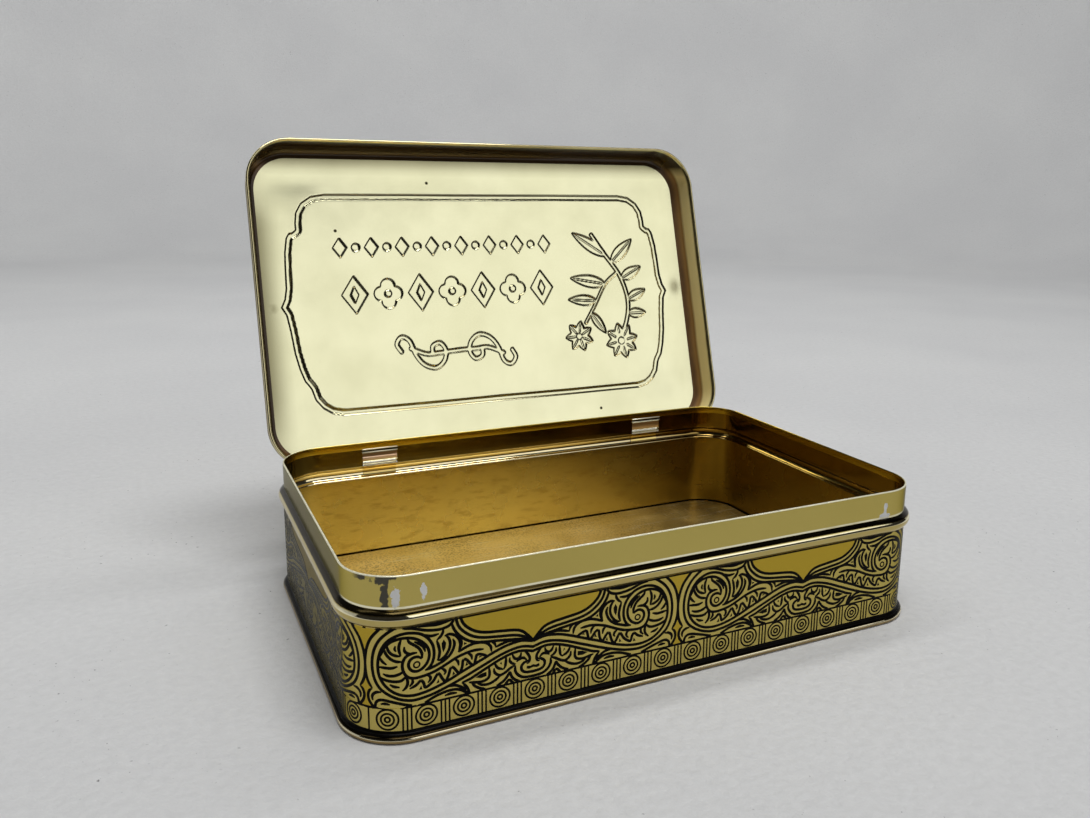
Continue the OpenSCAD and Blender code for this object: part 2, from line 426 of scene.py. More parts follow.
# Each metal's colour, its colour in dull clouds, and the range of its roughness
METALS = {
    "litho_gold": ((0.50, 0.35, 0.042), (0.44, 0.31, 0.034), (0.16, 0.24)),
    "pale_gold": ((0.56, 0.45, 0.13), (0.49, 0.39, 0.10), (0.16, 0.24)),
    "neck_gold": ((0.54, 0.435, 0.125), (0.485, 0.385, 0.105), (0.10, 0.16)),
    # The inside of the neck: the inside lacquer painted dark as shade
    "neck_inside_painted_shade": ((0.14, 0.112, 0.042), (0.105, 0.08, 0.028), (0.08, 0.14)),
    "inner_gold": ((0.68, 0.54, 0.185), (0.52, 0.40, 0.12), (0.20, 0.32)),
    # The hem: painted pale cream as a highlight
    "hem_painted_highlight": ((1.0, 0.96, 0.74), (0.90, 0.84, 0.56), (0.22, 0.3)),
    "bead_gold": ((0.54, 0.43, 0.155), (0.46, 0.36, 0.125), (0.05, 0.09)),
    # The inside of the bead: painted lighter than the rest of the inside, as a highlight
    "bead_hollow": ((0.90, 0.80, 0.50), (0.78, 0.66, 0.36), (0.06, 0.09)),
    # The bead's top, where it meets the neck: painted near black as a dark reflection
    "crease_dark_reflection": ((0.035, 0.026, 0.010), (0.018, 0.013, 0.005), (0.10, 0.2)),
    "bronze": ((0.34, 0.24, 0.10), (0.22, 0.15, 0.065), (0.08, 0.16)),
    "floor_gold": ((1.0, 0.81, 0.35), (0.96, 0.70, 0.26), (0.36, 0.50)),
    "curl_gold": ((0.74, 0.66, 0.38), (0.60, 0.50, 0.24), (0.07, 0.13)),
    "tinplate": ((0.78, 0.74, 0.60), (0.62, 0.58, 0.45), (0.05, 0.12)),
    "leaf_tin": ((0.78, 0.74, 0.60), (0.62, 0.58, 0.45), (0.05, 0.12)),
    # The window lips: painted light as highlights
    "lip_tin": ((0.95, 0.92, 0.76), (0.80, 0.76, 0.60), (0.10, 0.2)),
}
# What the printed golds reflect at a flat angle
PRINTED = (0.42, 0.42, 0.38)
# Marks on the neck's front, as the middle's x and z, and the reach along each
SMEARS = ((-82, 42.6, 2.4, 1.3), (-81.6, 38, 0.9, 4.5), (-86.5, 42.8, 1.6, 0.9))
SCRAPES = ((-79.2, 38.2, 1.1, 2.6), (-72.4, 38.6, 0.8, 1.9), (73.2, 38, 0.7, 2.0), (72.8, 35.6, 2.0, 1.2))


def metal(name, relief=0.002, edge=(1, 1, 1)):
    """Lacquered tinplate: a tinted metal, with the fine grain of the rolled sheet if it has a relief."""
    colour, dull, roughness = METALS[name]
    r = Recipe(name, metallic=1.0)
    r.set("Specular Tint", (*edge, 1))
    r.set("Base Color", r.mix(r.between(r.noise(35, 3), 0.3, 0.7, 0, 0.5), colour, dull))
    r.set("Roughness", r.between(r.noise(14, 4), 0.3, 0.7, *roughness))
    if relief:
        r.bump(r.noise(1.2, 3, stretch=(6, 6, 0.35)), relief)
    return r


def painted_shade_to_right(r, colour, start, end):
    """Painted shade: turns the base colour to a deeper brown towards the tin's right end."""
    r.paint(r.between(r.axes()["X"], start, end), colour)


def painted_highlight_line(r, low, high, colour):
    """A painted highlight: a bright line between two heights, along the front and the right."""
    place = r.axes()
    line = r.times(r.between(place["Z"], low - 0.15, low), r.between(place["Z"], high + 0.15, high))
    line = r.times(line, r.between(r.noise(9, 4), 0.3, 0.5, 0.6, 1))
    seen = r.most(r.between(place["X"], 60, 80), r.between(place["Y"], -38, -48))
    r.paint(r.times(line, r.between(seen, 0, 1, 0.15, 1)), colour)


def ragged_spots(r, spots):
    """Mask of ragged spots on the neck's front."""
    place = r.axes()
    ragged = r.times(r.math("SUBTRACT", r.noise(1.6, 3), 0.5), 4.0)
    mask = 0.0
    for middle_x, middle_z, reach_x, reach_z in spots:
        across = r.math("DIVIDE", r.math("SUBTRACT", place["X"], middle_x), reach_x)
        up = r.math("DIVIDE", r.math("SUBTRACT", place["Z"], middle_z), reach_z)
        away = r.math("ADD", r.times(across, across), r.times(up, up))
        mask = r.most(mask, r.between(r.math("ADD", away, ragged), 1.2, 0.8))
    return r.times(mask, r.between(place["Y"], -50, -52))


def litho_gold():
    return metal("litho_gold", edge=PRINTED).material


def neck_gold():
    """The printed neck, with a dark smear and scraped spots at its front corners, and a painted highlight
    line along its lower edge.
    """
    r = metal("neck_gold", edge=PRINTED)
    r.paint(r.times(ragged_spots(r, SMEARS), 0.9), (0.03, 0.035, 0.05))
    scraped = ragged_spots(r, SCRAPES)
    r.paint(scraped, (0.82, 0.82, 0.80))
    r.set("Roughness", r.between(scraped, 0, 1, 0.13, 0.5))
    # Painted highlight along the neck's lower edge
    painted_highlight_line(r, 35.05, 35.45, (1.0, 0.95, 0.70))
    return r.material


def neck_inside_painted_shade():
    # The inside lacquer painted dark as shade, and a deeper brown to the right as painted shade
    r = metal("neck_inside_painted_shade")
    painted_shade_to_right(r, (0.24, 0.15, 0.025), -30, 86)
    return r.material


def inner_gold():
    """The inside lacquer, stained, and with painted shade that deepens it to brown towards the right."""
    r = metal("inner_gold", relief=0)
    painted_shade_to_right(r, (0.33, 0.22, 0.04), -10, 86)
    stains = r.noise(2.2, 4, stretch=(3, 3, 1), roughness=0.65)
    r.paint(r.between(stains, 0.52, 0.66, 0, 0.45), (0.34, 0.23, 0.06))
    r.bump(r.noise(0.9, 3, stretch=(3, 3, 1), roughness=0.6), 0.010)
    return r.material


def hem_painted_highlight():
    """The hem over the neck's top edge, painted pale as a highlight."""
    r = metal("hem_painted_highlight")
    r.set("Metallic", 0.35)
    return r.material


def bead_gold():
    """The stop bead, with a painted highlight line on top."""
    r = metal("bead_gold", relief=0.001)
    # Painted highlight along the bead's top
    painted_highlight_line(r, 32.95, 33.65, (1.0, 0.93, 0.64))
    return r.material


def bead_hollow():
    """The inside of the stop bead, painted lighter than the rest of the inside as a highlight, and with
    painted shade to the right.
    """
    r = metal("bead_hollow", relief=0.00005)
    painted_shade_to_right(r, (0.30, 0.20, 0.06), 20, 75)
    return r.material


def bronze():
    """The seam's rim: bronze lacquer, with painted shade where it meets the wall, and a painted highlight
    line below.
    """
    r = metal("bronze")
    # Painted shade on the rim's top, where it meets the wall
    r.paint(r.between(r.axes()["Z"], 1.45, 1.6), (0.02, 0.014, 0.006))
    # Painted highlight line along the rim
    painted_highlight_line(r, 1.18, 1.42, (0.96, 0.88, 0.62))
    return r.material


def floor_gold():
    """The floor's lacquer, speckled and scratched, with painted shade that deepens it to brown towards the
    right.
    """
    r = metal("floor_gold", relief=0)
    painted_shade_to_right(r, (0.60, 0.42, 0.12), 0, 85)
    specks = r.noise(0.8, 3, roughness=0.65)
    patches = r.between(r.noise(22, 3, shift=(5, 2, 0)), 0.35, 0.65, 0.1, 0.6)
    r.paint(r.times(r.between(specks, 0.47, 0.60), patches), (0.26, 0.15, 0.04))
    long_ways = r.noise(1.1, 2, stretch=(14, 0.4, 1), shift=(0, 7, 0))
    cross_ways = r.noise(0.8, 2, stretch=(0.5, 9, 1))
    scratches = r.most(r.between(long_ways, 0.64, 0.70, 0, 0.8), r.between(cross_ways, 0.68, 0.73, 0, 0.7))
    r.paint(scratches, (1.0, 0.92, 0.66))
    r.bump(specks, 0.06)
    return r.material


def lid_gold():
    """The lid's lacquer: painted shade on the stamped edges and along the left end and the front edge, darker
    spots beside the frame's side points, and three specks of dirt.
    """
    r = Recipe("lid_gold", metallic=1.0)
    r.set("Base Color", r.mix(r.between(r.noise(28, 3), 0.3, 0.7), (0.88, 0.86, 0.57), (0.83, 0.81, 0.52)))
    # Painted shade on the steep edges of the stamped relief
    r.paint(r.between(r.attribute("stamp"), 0.18, 0.8, 0, 0.95), (0.08, 0.055, 0.015))
    # Painted shade along the left end and the front edge, and dark spots beside the frame's side points
    r.paint(r.attribute("dim"), (0.20, 0.18, 0.09))
    for x, v in ((-22.5, 105.5), (-59.5, 87.0), (42.5, 11.0)):
        speck = lid_closed_to_open([(x, AXIS_Y - v, LID_TOP - SHEET)])[0]
        away = r.node("ShaderNodeVectorMath", {0: r.place(), 1: tuple(speck)}, operation="DISTANCE")
        r.paint(r.between(away.outputs["Value"], 0.75, 0.45), (0.03, 0.025, 0.01))
    r.set("Roughness", r.between(r.noise(14, 4), 0.3, 0.7, 0.17, 0.22))
    r.bump(r.noise(0.9, 3, stretch=(8, 1, 1)), 0.003)
    return r.material


def skirt_painted_light():
    """The skirt's inside: painted shade, nearly black, at the front and left, and painted bands of reflection
    and shade along its depth elsewhere.
    """
    r = Recipe("skirt_painted_light", metallic=0.25)
    place = r.axes()
    wavy = r.math("ADD", r.attribute("depth"), r.between(r.noise(16, 3), 0, 1, -0.05, 0.05))
    # Painted bands of reflection and shade along the skirt's depth
    painted_bands = (0.16, 0.09, 0.02)
    for low, high, colour in ((0.10, 0.20, (1.0, 0.84, 0.42)), (0.66, 0.80, (0.36, 0.20, 0.06)),
                              (0.88, 0.97, (0.14, 0.07, 0.02))):
        painted_bands = r.mix(r.between(wavy, low, high), painted_bands, colour)
    # Painted shade, nearly black, at the front and the left
    dark = r.most(r.between(place["Z"], 137, 141), r.between(place["X"], -84, -88))
    r.set("Base Color", r.mix(dark, painted_bands, (0.035, 0.018, 0.004)))
    r.set("Roughness", r.between(place["X"], 82, 88, 0.16, 0.55))
    r.bump(r.noise(1.2, 3, stretch=(6, 6, 0.35)), 0.002)
    return r.material


def leaf_tin():
    """A body leaf: bare at its knuckle, and gold below it, where it lies in the bead's hollow."""
    r = metal("leaf_tin")
    r.paint(r.between(r.axes()["Z"], 35.1, 34.7), (0.62, 0.47, 0.17))
    return r.material


def lip_tin():
    """A window's folded lip: ridges painted light as highlights, with painted shade in the groove between
    them and under the lower ridge.
    """
    r = metal("lip_tin")
    r.set("Metallic", 0.6)
    z = r.axes()["Z"]
    groove = r.times(r.between(z, 39.95, 40.1), r.between(z, 40.8, 40.65))
    # Painted shade in the groove and under the lower ridge
    r.paint(r.most(groove, r.between(z, 39.85, 39.75)), (0.02, 0.016, 0.01))
    return r.material


def black_ink():
    """The ink, a little greyer where it has worn."""
    r = Recipe("black_ink", roughness=0.3)
    r.set("Specular IOR Level", 0.05)
    worn = r.between(r.noise(2.5, 4), 0.4, 0.8, 0, 0.5)
    r.set("Base Color", r.mix(worn, (0.002, 0.0015, 0.001), (0.006, 0.005, 0.004)))
    return r.material


# ---------------------------------------------------------------- body wall

# The wall's material slots
FIELD, NECK, INSIDE, FOOT, NECK_IN, HEM, BEAD, CREASE, HOLLOW = range(9)


def wall_middle():
    """Middle line of the wall's sheet, from the hook in the seam up to the hem, as (out, z)."""
    wall, neck = -SHEET / 2, -NECK_INSET - SHEET / 2
    flare = (wall + FLARE_R, FLARE_Z)
    lean, to_hook = math.radians(FLARE_TURN), FLARE_R + HOOK_R
    hook = (flare[0] - to_hook * math.cos(lean), flare[1] - to_hook * math.sin(lean))
    bead_r = ((BEAD_H / 2) ** 2 + BEAD_OUT**2) / (2 * BEAD_OUT)
    bead = (BEAD_OUT - bead_r, BEAD_Z)
    radius = bead_r - SHEET / 2
    line = [(hook[0] + HOOK_R, HOOK_Z)] + arc(hook, HOOK_R, 0, FLARE_TURN, 5)
    line += arc(flare, FLARE_R, 180 + FLARE_TURN, 180, 8)
    ends = []
    for side, edge, fillet in ((-1, wall, 0.45), (1, neck, 0.25)):
        reach = edge + fillet - bead[0]
        centre = (edge + fillet, BEAD_Z + side * math.sqrt((radius + fillet) ** 2 - reach**2))
        toward = math.degrees(math.atan2(BEAD_Z - centre[1], bead[0] - centre[0])) % 360
        ends.append((centre, fillet, toward))
    (low, low_r, low_a), (top, top_r, top_a) = ends
    line += [(wall, z) for z in np.linspace(FLARE_Z, low[1], 10)[1:-1]]
    line += arc(low, low_r, 180, low_a, 5)
    line += arc(bead, radius, low_a - 180, top_a - 180, 18)
    line += arc(top, top_r, top_a, 180, 5)
    line += [(neck, z) for z in (36.5, 38.0, 39.5, BODY_H - HEM_H)]
    return tidy(line)


def wall_section():
    """Closed section of the wall, the material of each of its edges, and the hinge windows' rows."""
    middle = wall_middle()
    outer = beside(middle, -SHEET / 2)
    inner = beside(middle, SHEET / 2)
    hem = (-NECK_INSET - HEM_T / 2, BODY_H - HEM_T / 2)
    hem_end = BODY_H - HEM_H
    over = [(-NECK_INSET, hem_end + 1)] + arc(hem, HEM_T / 2, 0, 180, 8)
    under = arc((hem[0] - HEM_T / 2 + 0.1, hem_end + 0.1), 0.1, 180, 270, 3)
    section = outer + over + under + inner[::-1]
    sill = next(i for i, p in enumerate(outer) if p[1] > WINDOW_Z - 0.06 and p[0] < -0.2)
    rows = ((sill, len(outer) - 1), (len(section) - len(inner), len(section) - 1 - sill))
    low, high = BEAD_Z - BEAD_H / 2, BEAD_Z + BEAD_H / 2
    kinds = []
    for i, (here, there) in enumerate(zip(section, section[1:] + section[:1])):
        out, z = (here[0] + there[0]) / 2, (here[1] + there[1]) / 2
        if i >= len(outer) + len(over) - 1:
            upper = FIELD if z > hem_end - 0.2 else NECK_IN if z > high else HOLLOW
            kinds.append(INSIDE if z < low - 0.5 else upper)
        elif i >= len(outer) + 1:
            kinds.append(HEM if out > hem[0] - 0.15 else FIELD)
        elif z > high + 0.2:
            kinds.append(NECK)
        # The bead's top, by the neck, is painted near black as a dark reflection
        elif z > BEAD_Z + 1.3:
            kinds.append(CREASE)
        elif z > low - 0.2:
            kinds.append(BEAD)
        else:
            kinds.append(FIELD if z > FLARE_Z - 0.01 else FOOT)
    return section, kinds, rows


def rear_edges(half_width):
    """Places round the wall of both hinges' left and right edges."""
    middles = (PERIMETER / 2 - HINGE_X, PERIMETER / 2 + HINGE_X)
    return [middle + end * half_width for middle in middles for end in (-1, 1)]


def make_wall():
    """The wall, with its two hinge windows cut and their edges closed."""
    section, kinds, rows = wall_section()
    edges = rear_edges(WINDOW_W / 2)
    places = stations(6, 22, edges)
    points, faces, slots = swept_ring(section, kinds, places)
    m = len(section)
    (o0, o1), (i0, i1) = rows
    keep, kept_slots = [], []
    gaps = [(np.argmin(abs(places - a)), np.argmin(abs(places - b))) for a, b in (edges[:2], edges[2:])]
    for face, slot in zip(faces, slots):
        i, j = divmod(face[0], m)
        inside = any(a <= i < b for a, b in gaps) and (o0 <= j < o1 or i0 <= j < i1)
        if not inside:
            keep.append(face)
            kept_slots.append(slot)
    for a, b in gaps:
        for first, last in ((o0, i1), (o1, i0)):
            for i in range(a, b):
                keep.append((i * m + first, (i + 1) * m + first, (i + 1) * m + last, i * m + last))
                kept_slots.append(INSIDE)
        for i in (a, b):
            keep.append([i * m + j for j in range(o0, o1 + 1)] + [i * m + j for j in range(i0, i1 + 1)])
            kept_slots.append(INSIDE)
    materials = [litho_gold(), neck_gold(), inner_gold(), black_ink(), neck_inside_painted_shade(), hem_painted_highlight(), bead_gold(),
                 metal("crease_dark_reflection").material, bead_hollow()]
    wall = add_mesh("litho_wall", points, keep, materials, kept_slots)
    outward(wall)
    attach(wall, "body")
    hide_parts("body_wall")


def outward(piece):
    """Turns all faces of a closed piece outwards."""
    mesh = bmesh.new()
    mesh.from_mesh(piece.data)
    bmesh.ops.recalc_face_normals(mesh, faces=mesh.faces)
    mesh.to_mesh(piece.data)
    mesh.free()


# ---------------------------------------------------------------- printed ornament

# The whole print stands a little to the left of the wall's middle, and the band of roundels less so
PRINT_SHIFT, BAND_SLIDE = -0.65, 0.5
PANEL_HALF = (STRAIGHT_W + CORNER_L) / 4
SIDE_HALF = (STRAIGHT_D + CORNER_L) / 2
# On the wide panels of the sides, x is stretched from the scroll's end, and the knot's middle only moves
SCROLL_END, KNOT_MIDDLE = 26.0, 36.0
INK_W, OVERRUN = 0.8, 0.3
PRINT_TOP, BAND_TOP, LINE_H = 30.0, 9.15, 0.6
ROUNDEL_Z, ROUNDEL_W = 6.15, 0.54
# Each roundel's rings, as radius and steps round it, and the three bars between two roundels
ROUNDEL_RINGS = ((2.7, 32), (1.62, 24), (0.65, 14))
BAR_GAP, BAR_W = 1.05, 0.48
INK_LIFT, PALE_LIFT, FILM_BACK = 0.04, 0.02, -0.02

# The print's strokes over half of a panel, as seen from outside: x from the front's middle, and height z.
# The ring scroll, the arch over the panel's middle, and the knot under it
SCROLL = [
    # outer ring line and the curl of its leaf
    [(3.3, 30), (1.2, 27.6), (0, 25), (-0.55, 22.3), (-0.65, 20.3), (-0.45, 17.8), (0.1, 15.9), (1.1, 14.3)],
    [(1.1, 14.3), (0.3, 13.6), (-0.1, 12.4), (0.1, 11.1), (0.7, 10.1), (1.3, 9.3)],
    [(3.4, 13.5), (2.2, 13.4), (1.3, 12.8), (1.0, 12), (1.15, 11.1)],
    [(1.7, 9.3), (1.9, 10.5), (2.7, 11.3), (4, 11.4), (6, 10.9), (8, 10.3), (10.4, 9.5)],
    [(3.1, 10.3), (4.2, 10.45), (5.4, 10.2)],
    # middle line: round the ring and on into the arch
    [(6.6, 30), (5, 28.9), (3.2, 27.1), (1.9, 24.6), (1.3, 21.8), (1.3, 19.2), (1.8, 16.8), (2.9, 14.7),
     (4.6, 13.2), (6.5, 12.1), (8.5, 11.3), (11, 10.8), (13.5, 10.9), (16, 11.3), (18.5, 12), (21, 12.8),
     (24, 13.9), (27, 15.1), (30, 16.3), (33, 17.5), (36, 18.4), (38.5, 18.8), (40.5, 18.7), (42.74, 18.1)],
    # inner line: from the volute round the ring and over the arch
    [(14.1, 18.1), (15.2, 18.6), (16.1, 20), (16.5, 22), (16.2, 24.3), (15.1, 26.3), (13.4, 27.8),
     (11.5, 28.5), (9.5, 28.7), (7.3, 28.2), (5.2, 26.9), (3.7, 24.8), (2.9, 22.3), (2.7, 20), (3, 17.8),
     (4.1, 15.6), (5.9, 13.8), (8.2, 12.6), (11, 12.1), (14, 12.3), (17, 13), (20, 14), (23, 15.3),
     (26, 16.5), (29, 17.7), (32, 18.9), (35, 19.9), (38, 20.4), (40, 20.4), (42.4, 19.8)],
    # volute
    [(3.3, 22.8), (4.2, 24.9), (5.8, 26.6), (7.8, 27.4), (9.8, 27.5), (11.7, 27), (13.5, 25.8), (14.8, 24.2),
     (15.3, 22.3), (14.9, 20.4), (13.8, 19), (12.2, 18.3), (10.8, 18.8), (10.1, 20.1), (10.4, 21.4),
     (11.4, 22.1), (12.6, 22), (13.4, 21.3)],
    [(12.3, 23.2), (10.9, 23.2), (9.5, 22.6), (8.8, 21.4), (8.6, 20), (9, 18.4), (10, 17.1), (11.6, 16.6),
     (13.8, 16.7), (16, 17.1), (18, 17.8), (20, 18.7), (22, 19.6), (24, 20.2), (26.5, 20.6), (29.3, 20.4)],
    # leaves to the right of the volute
    [(14.1, 18.1), (16, 18.5), (17.8, 19.1), (19.3, 19.8), (20.6, 20.9), (21.4, 22.3), (21.7, 23.7),
     (21.3, 24.9)],
    [(17.2, 25.4), (17.6, 24), (17.9, 22.3), (17.7, 20.9), (17.3, 20)],
    [(17.3, 20), (18.3, 20.1), (19.4, 20.9), (20.3, 22.3), (20.6, 23.8), (20.3, 25.2), (19.5, 26.2)],
    [(18.9, 28.2), (18.8, 27.2), (18.2, 26.2), (17.2, 25.4)],
    [(13.6, 27.7), (14.6, 27.2), (16, 26.8), (17.8, 27)],
    [(9.5, 30), (11, 29.8), (12.5, 29.3), (14.2, 28.7), (16, 28.3), (18, 28.1), (19.5, 28.3),
     (20.7, 28.8), (21.4, 29.6)],
    [(13, 30), (15, 29.75), (17.3, 29.5), (19.3, 29.75), (20.5, 30)],
    [(19.2, 26.1), (20.3, 26.35), (21.6, 25.9), (22.7, 24.8), (23.2, 23.2), (23, 21.8), (22.7, 21)],
    [(22.7, 21), (24.3, 21.8), (26.3, 22.4), (28.3, 22.4), (30, 21.9), (31.1, 20.8), (31.4, 19.2)],
    [(23.1, 24.9), (23.5, 23.5), (23.4, 22)],
    [(31.3, 22), (32.2, 21.3), (32.5, 20.3)],
    [(32.4, 20.2), (34, 20.7), (36, 21.1), (38, 21)],
    # flames along the stem
    [(10.2, 14), (11.9, 14.7), (13, 15.6), (13.7, 14.9), (14.2, 13.5), (16, 14.6), (16.9, 15.9), (17.4, 16.5),
     (17.9, 16), (18.5, 14.8), (19.3, 14), (20.1, 15.5), (20.5, 16.9), (20.9, 17.4), (21.5, 17), (22.2, 16),
     (22.9, 15.3), (23.6, 16.8), (23.8, 18.3), (24.2, 18.8), (25, 18.3), (25.8, 17.2), (26.7, 16.7),
     (27.2, 18.4), (27.5, 19.2), (28.4, 19.2), (30.4, 18.3)],
    [(14.6, 16.7), (15.4, 16.1), (15.4, 15.3), (14.8, 14.6)],
    [(18.1, 17.8), (19, 17.1), (19.3, 16.4), (18.9, 15.8)],
    [(21.6, 19.4), (22.5, 18.6), (22.7, 17.4)],
    [(25, 20.3), (26, 19.4), (26.2, 18.2)],
    # fingers to the left of the volute
    [(8.5, 27.3), (8, 25.9), (7.9, 24.6), (8.3, 22.9)],
    [(5.1, 25.9), (5.3, 24.7), (6, 23.7), (7.2, 23.1), (8.3, 22.9)],
    [(7.1, 25.7), (6.9, 24.9), (7.2, 24.2)],
    [(9.2, 25.3), (9.2, 24.3), (9.8, 23.5), (11, 23.2)],
    [(9.9, 27.4), (10.4, 26.3), (11.6, 25.3), (12.7, 24.3), (13.4, 22.9), (13.5, 21.4)],
    [(11.6, 26.2), (13, 25.3), (13.9, 24.3), (14.3, 23)],
    [(4.4, 25), (4.8, 23.6), (5.9, 22.3), (7.2, 21.6), (8.7, 21.4)],
    [(3.2, 22.8), (3.9, 21.6), (4.9, 20.8)],
    [(2.9, 20.2), (4.5, 20), (6, 19.9), (7.5, 20.3)],
    [(3.9, 18.4), (5.2, 17.9), (6.8, 17.9), (8.2, 18.4), (8.8, 19.1)],
    [(3.4, 17.4), (4.7, 16.7), (6.8, 16.3), (8.4, 16.5), (9.4, 17.5)],
    [(5.5, 15.6), (6.5, 15), (7.9, 14.7)],
    [(9.3, 17.3), (9.8, 16.1), (9.5, 14.7), (8.5, 13.7)],
    [(10.8, 16.8), (11, 15.6), (10.2, 14.6)],
]
OGEE = [
    [(23.4, 30), (24, 28.5), (25.3, 27), (27.4, 25.6), (30, 24.8), (34, 24.3),
     (37.6, 23.8), (39.6, 23.1), (41.2, 21.7), (42.74, 19.9)],
    [(22.2, 30), (22.8, 28), (24.2, 26.2), (26.3, 24.6), (29, 23.6), (33, 23),
     (37, 22.5), (39.3, 21.9), (41, 21), (42.5, 19.9)],
    [(21, 29.3), (21.6, 27.5), (22.7, 25.8), (24.6, 24), (27, 22.8), (29.5, 22.3), (33, 21.9),
     (36.5, 21.4), (39.5, 20.9), (42, 19.9)],
]
KNOT = [
    [(23.5, 12.6), (25.5, 13), (27.5, 13.9), (30, 15), (33, 16.3), (36, 17.3), (38.5, 17.7),
     (40.5, 17.5), (42.74, 16.9)],
    [(23.5, 12.6), (24.3, 11.7), (25, 10.6), (25.4, 9.3)],
    [(20, 12.3), (21.6, 12.3), (22.9, 11.7), (24, 10.9), (24.7, 10.3)],
    [(14.2, 9.5), (16, 10.3), (18, 10.9), (20, 11.2), (22, 11.1), (23.6, 10.4), (24.9, 9.4)],
    [(19, 10.1), (20.5, 10.3), (22.2, 10.1)],
    [(25.3, 12.2), (26.5, 11.9), (28.5, 11.6), (30.1, 11.9), (30.8, 12.9), (30.7, 15)],
    [(26, 12), (26.8, 10.9), (28, 10), (29.3, 9.4)],
    [(27.6, 11.3), (28.8, 10.7), (30.5, 10.5), (32.3, 11.1), (33.8, 12.1)],
    [(32, 14.5), (32.1, 13.5), (32.7, 12.7), (33.7, 12.2), (35, 12.6), (36.4, 13.5), (37.8, 14.1)],
    [(32.1, 16), (33, 14.4), (34.6, 13.6)],
    [(34.6, 13.6), (35.1, 14.6), (35.3, 16.9)],
    [(36.3, 16.5), (36.3, 15.5), (37, 14.7), (37.9, 14.3)],
    [(37, 17.2), (37.5, 16.1), (38.3, 15.7), (39.2, 16.2), (39.4, 17.2)],
    [(37.8, 14), (37.8, 12.4), (38.7, 11), (40.3, 10.1), (42.74, 9.9)],
    [(41.5, 14.6), (40.3, 14.2), (39.5, 13.3), (39.7, 12.1), (40.8, 11.4), (42.74, 11.2)],
    [(40.4, 17.3), (41.4, 16.2), (41.8, 15.2), (41.6, 14.1), (40.9, 13.8)],
    [(33, 9.5), (34.5, 10.3), (35.6, 11.4), (36.3, 12.3), (36.8, 11.1), (37.6, 10.1), (38.6, 9.4)],
    [(35.2, 9.4), (36.1, 10.3), (37, 9.4)],
    [(38.1, 14.9), (38.9, 15.4), (40, 15.6), (41, 14.8)],
]
# Solid spots of ink, and the ring at the volute's middle
BLOBS = [
    [(19, 25.2), (18.4, 24.3), (18.5, 22.9), (18.8, 21.8), (19.4, 22.9), (19.6, 24.2)],
    [(12.5, 13.2), (13.1, 14.3), (13.4, 13.2)],
    [(16.9, 13.9), (17.5, 15), (17.7, 14)],
    [(21, 15), (21.3, 16.2), (21.8, 15.4)],
    [(24.4, 16.9), (24.8, 18), (25.2, 17)],
    [(27.9, 18.3), (28.2, 18.8), (28.9, 18.4)],
    [(24.1, 22.6), (24.2, 23.4), (25, 22.9)],
    [(27, 13.1), (28.6, 13.8), (30, 14), (30, 12.8), (28.5, 12.6)],
    [(33.6, 15.4), (34, 15.9), (34.2, 15)],
    [(41, 13.1), (40.9, 12.4), (41.6, 12.1), (42.74, 12.4), (42.74, 13.2), (42, 12.9)],
]
EYE = (12.1, 20.05)


class Drawing:
    """Flat shapes on the unrolled wall, which may overlap."""

    # Length over which a stroke thins, and the cosine of a turn from which its joint is rounded, not mitred
    TAPER, MITRED = 1.1, 0.72

    def __init__(self):
        self.points = []
        self.faces = []

    def polygon(self, corners):
        start = len(self.points)
        self.points.extend(corners)
        self.faces.append(list(range(start, len(self.points))))

    def box(self, left, right, low, high):
        self.polygon([(left, low), (right, low), (right, high), (left, high)])

    def ring(self, centre, radius, width, steps):
        angles = np.linspace(0, 2 * math.pi, steps + 1)
        spokes = [(math.cos(a), math.sin(a)) for a in angles]
        for a, b in zip(spokes, spokes[1:]):
            inner, outer = radius - width / 2, radius + width / 2
            corners = ((inner, a), (outer, a), (outer, b), (inner, b))
            self.polygon([(centre[0] + r * c, centre[1] + r * s) for r, (c, s) in corners])

    def pen(self, line, width, thin=(True, True), steps=4):
        """A pen stroke that may thin towards its ends."""
        p = np.array(smooth(line, steps), float)
        step = np.diff(p, axis=0)
        length = np.linalg.norm(step, axis=1)
        step /= length[:, None]
        left = np.stack([-step[:, 1], step[:, 0]], 1)
        run = np.concatenate([[0], np.cumsum(length)])
        blunt = np.full(len(run), self.TAPER)
        from_end = np.minimum(run if thin[0] else blunt, run[-1] - run if thin[1] else blunt)
        half = width / 2 * (0.5 + 0.5 * np.clip(from_end / self.TAPER, 0, 1))
        for i in range(len(step)):
            sides = []
            for joint, other in ((i, i - 1), (i + 1, i + 1)):
                across = left[i]
                if 0 <= other < len(step):
                    turn = float(left[i] @ left[other])
                    if turn > self.MITRED:
                        across = (left[i] + left[other]) / (1 + turn)
                sides.append((p[joint] - half[joint] * across, p[joint] + half[joint] * across))
            (a_right, a_left), (b_right, b_left) = sides
            corners = [a_right, b_right, b_left, a_left]
            if not convex(corners):
                reach = half[i] * left[i]
                corners = [p[i] - reach, p[i + 1] - reach, p[i + 1] + reach, p[i] + reach]
            self.polygon([tuple(c) for c in corners])
        for i in range(1, len(step)):
            if left[i] @ left[i - 1] <= self.MITRED:
                self.polygon(arc(p[i], half[i], 22.5, 337.5, 7))


def convex(corners):
    """Whether a quad is convex and runs anticlockwise."""
    for i in range(4):
        a, b, c = (np.asarray(corners[(i + k) % 4]) for k in range(3))
        if (b[0] - a[0]) * (c[1] - b[1]) - (b[1] - a[1]) * (c[0] - b[0]) <= 1e-7:
            return False
    return True


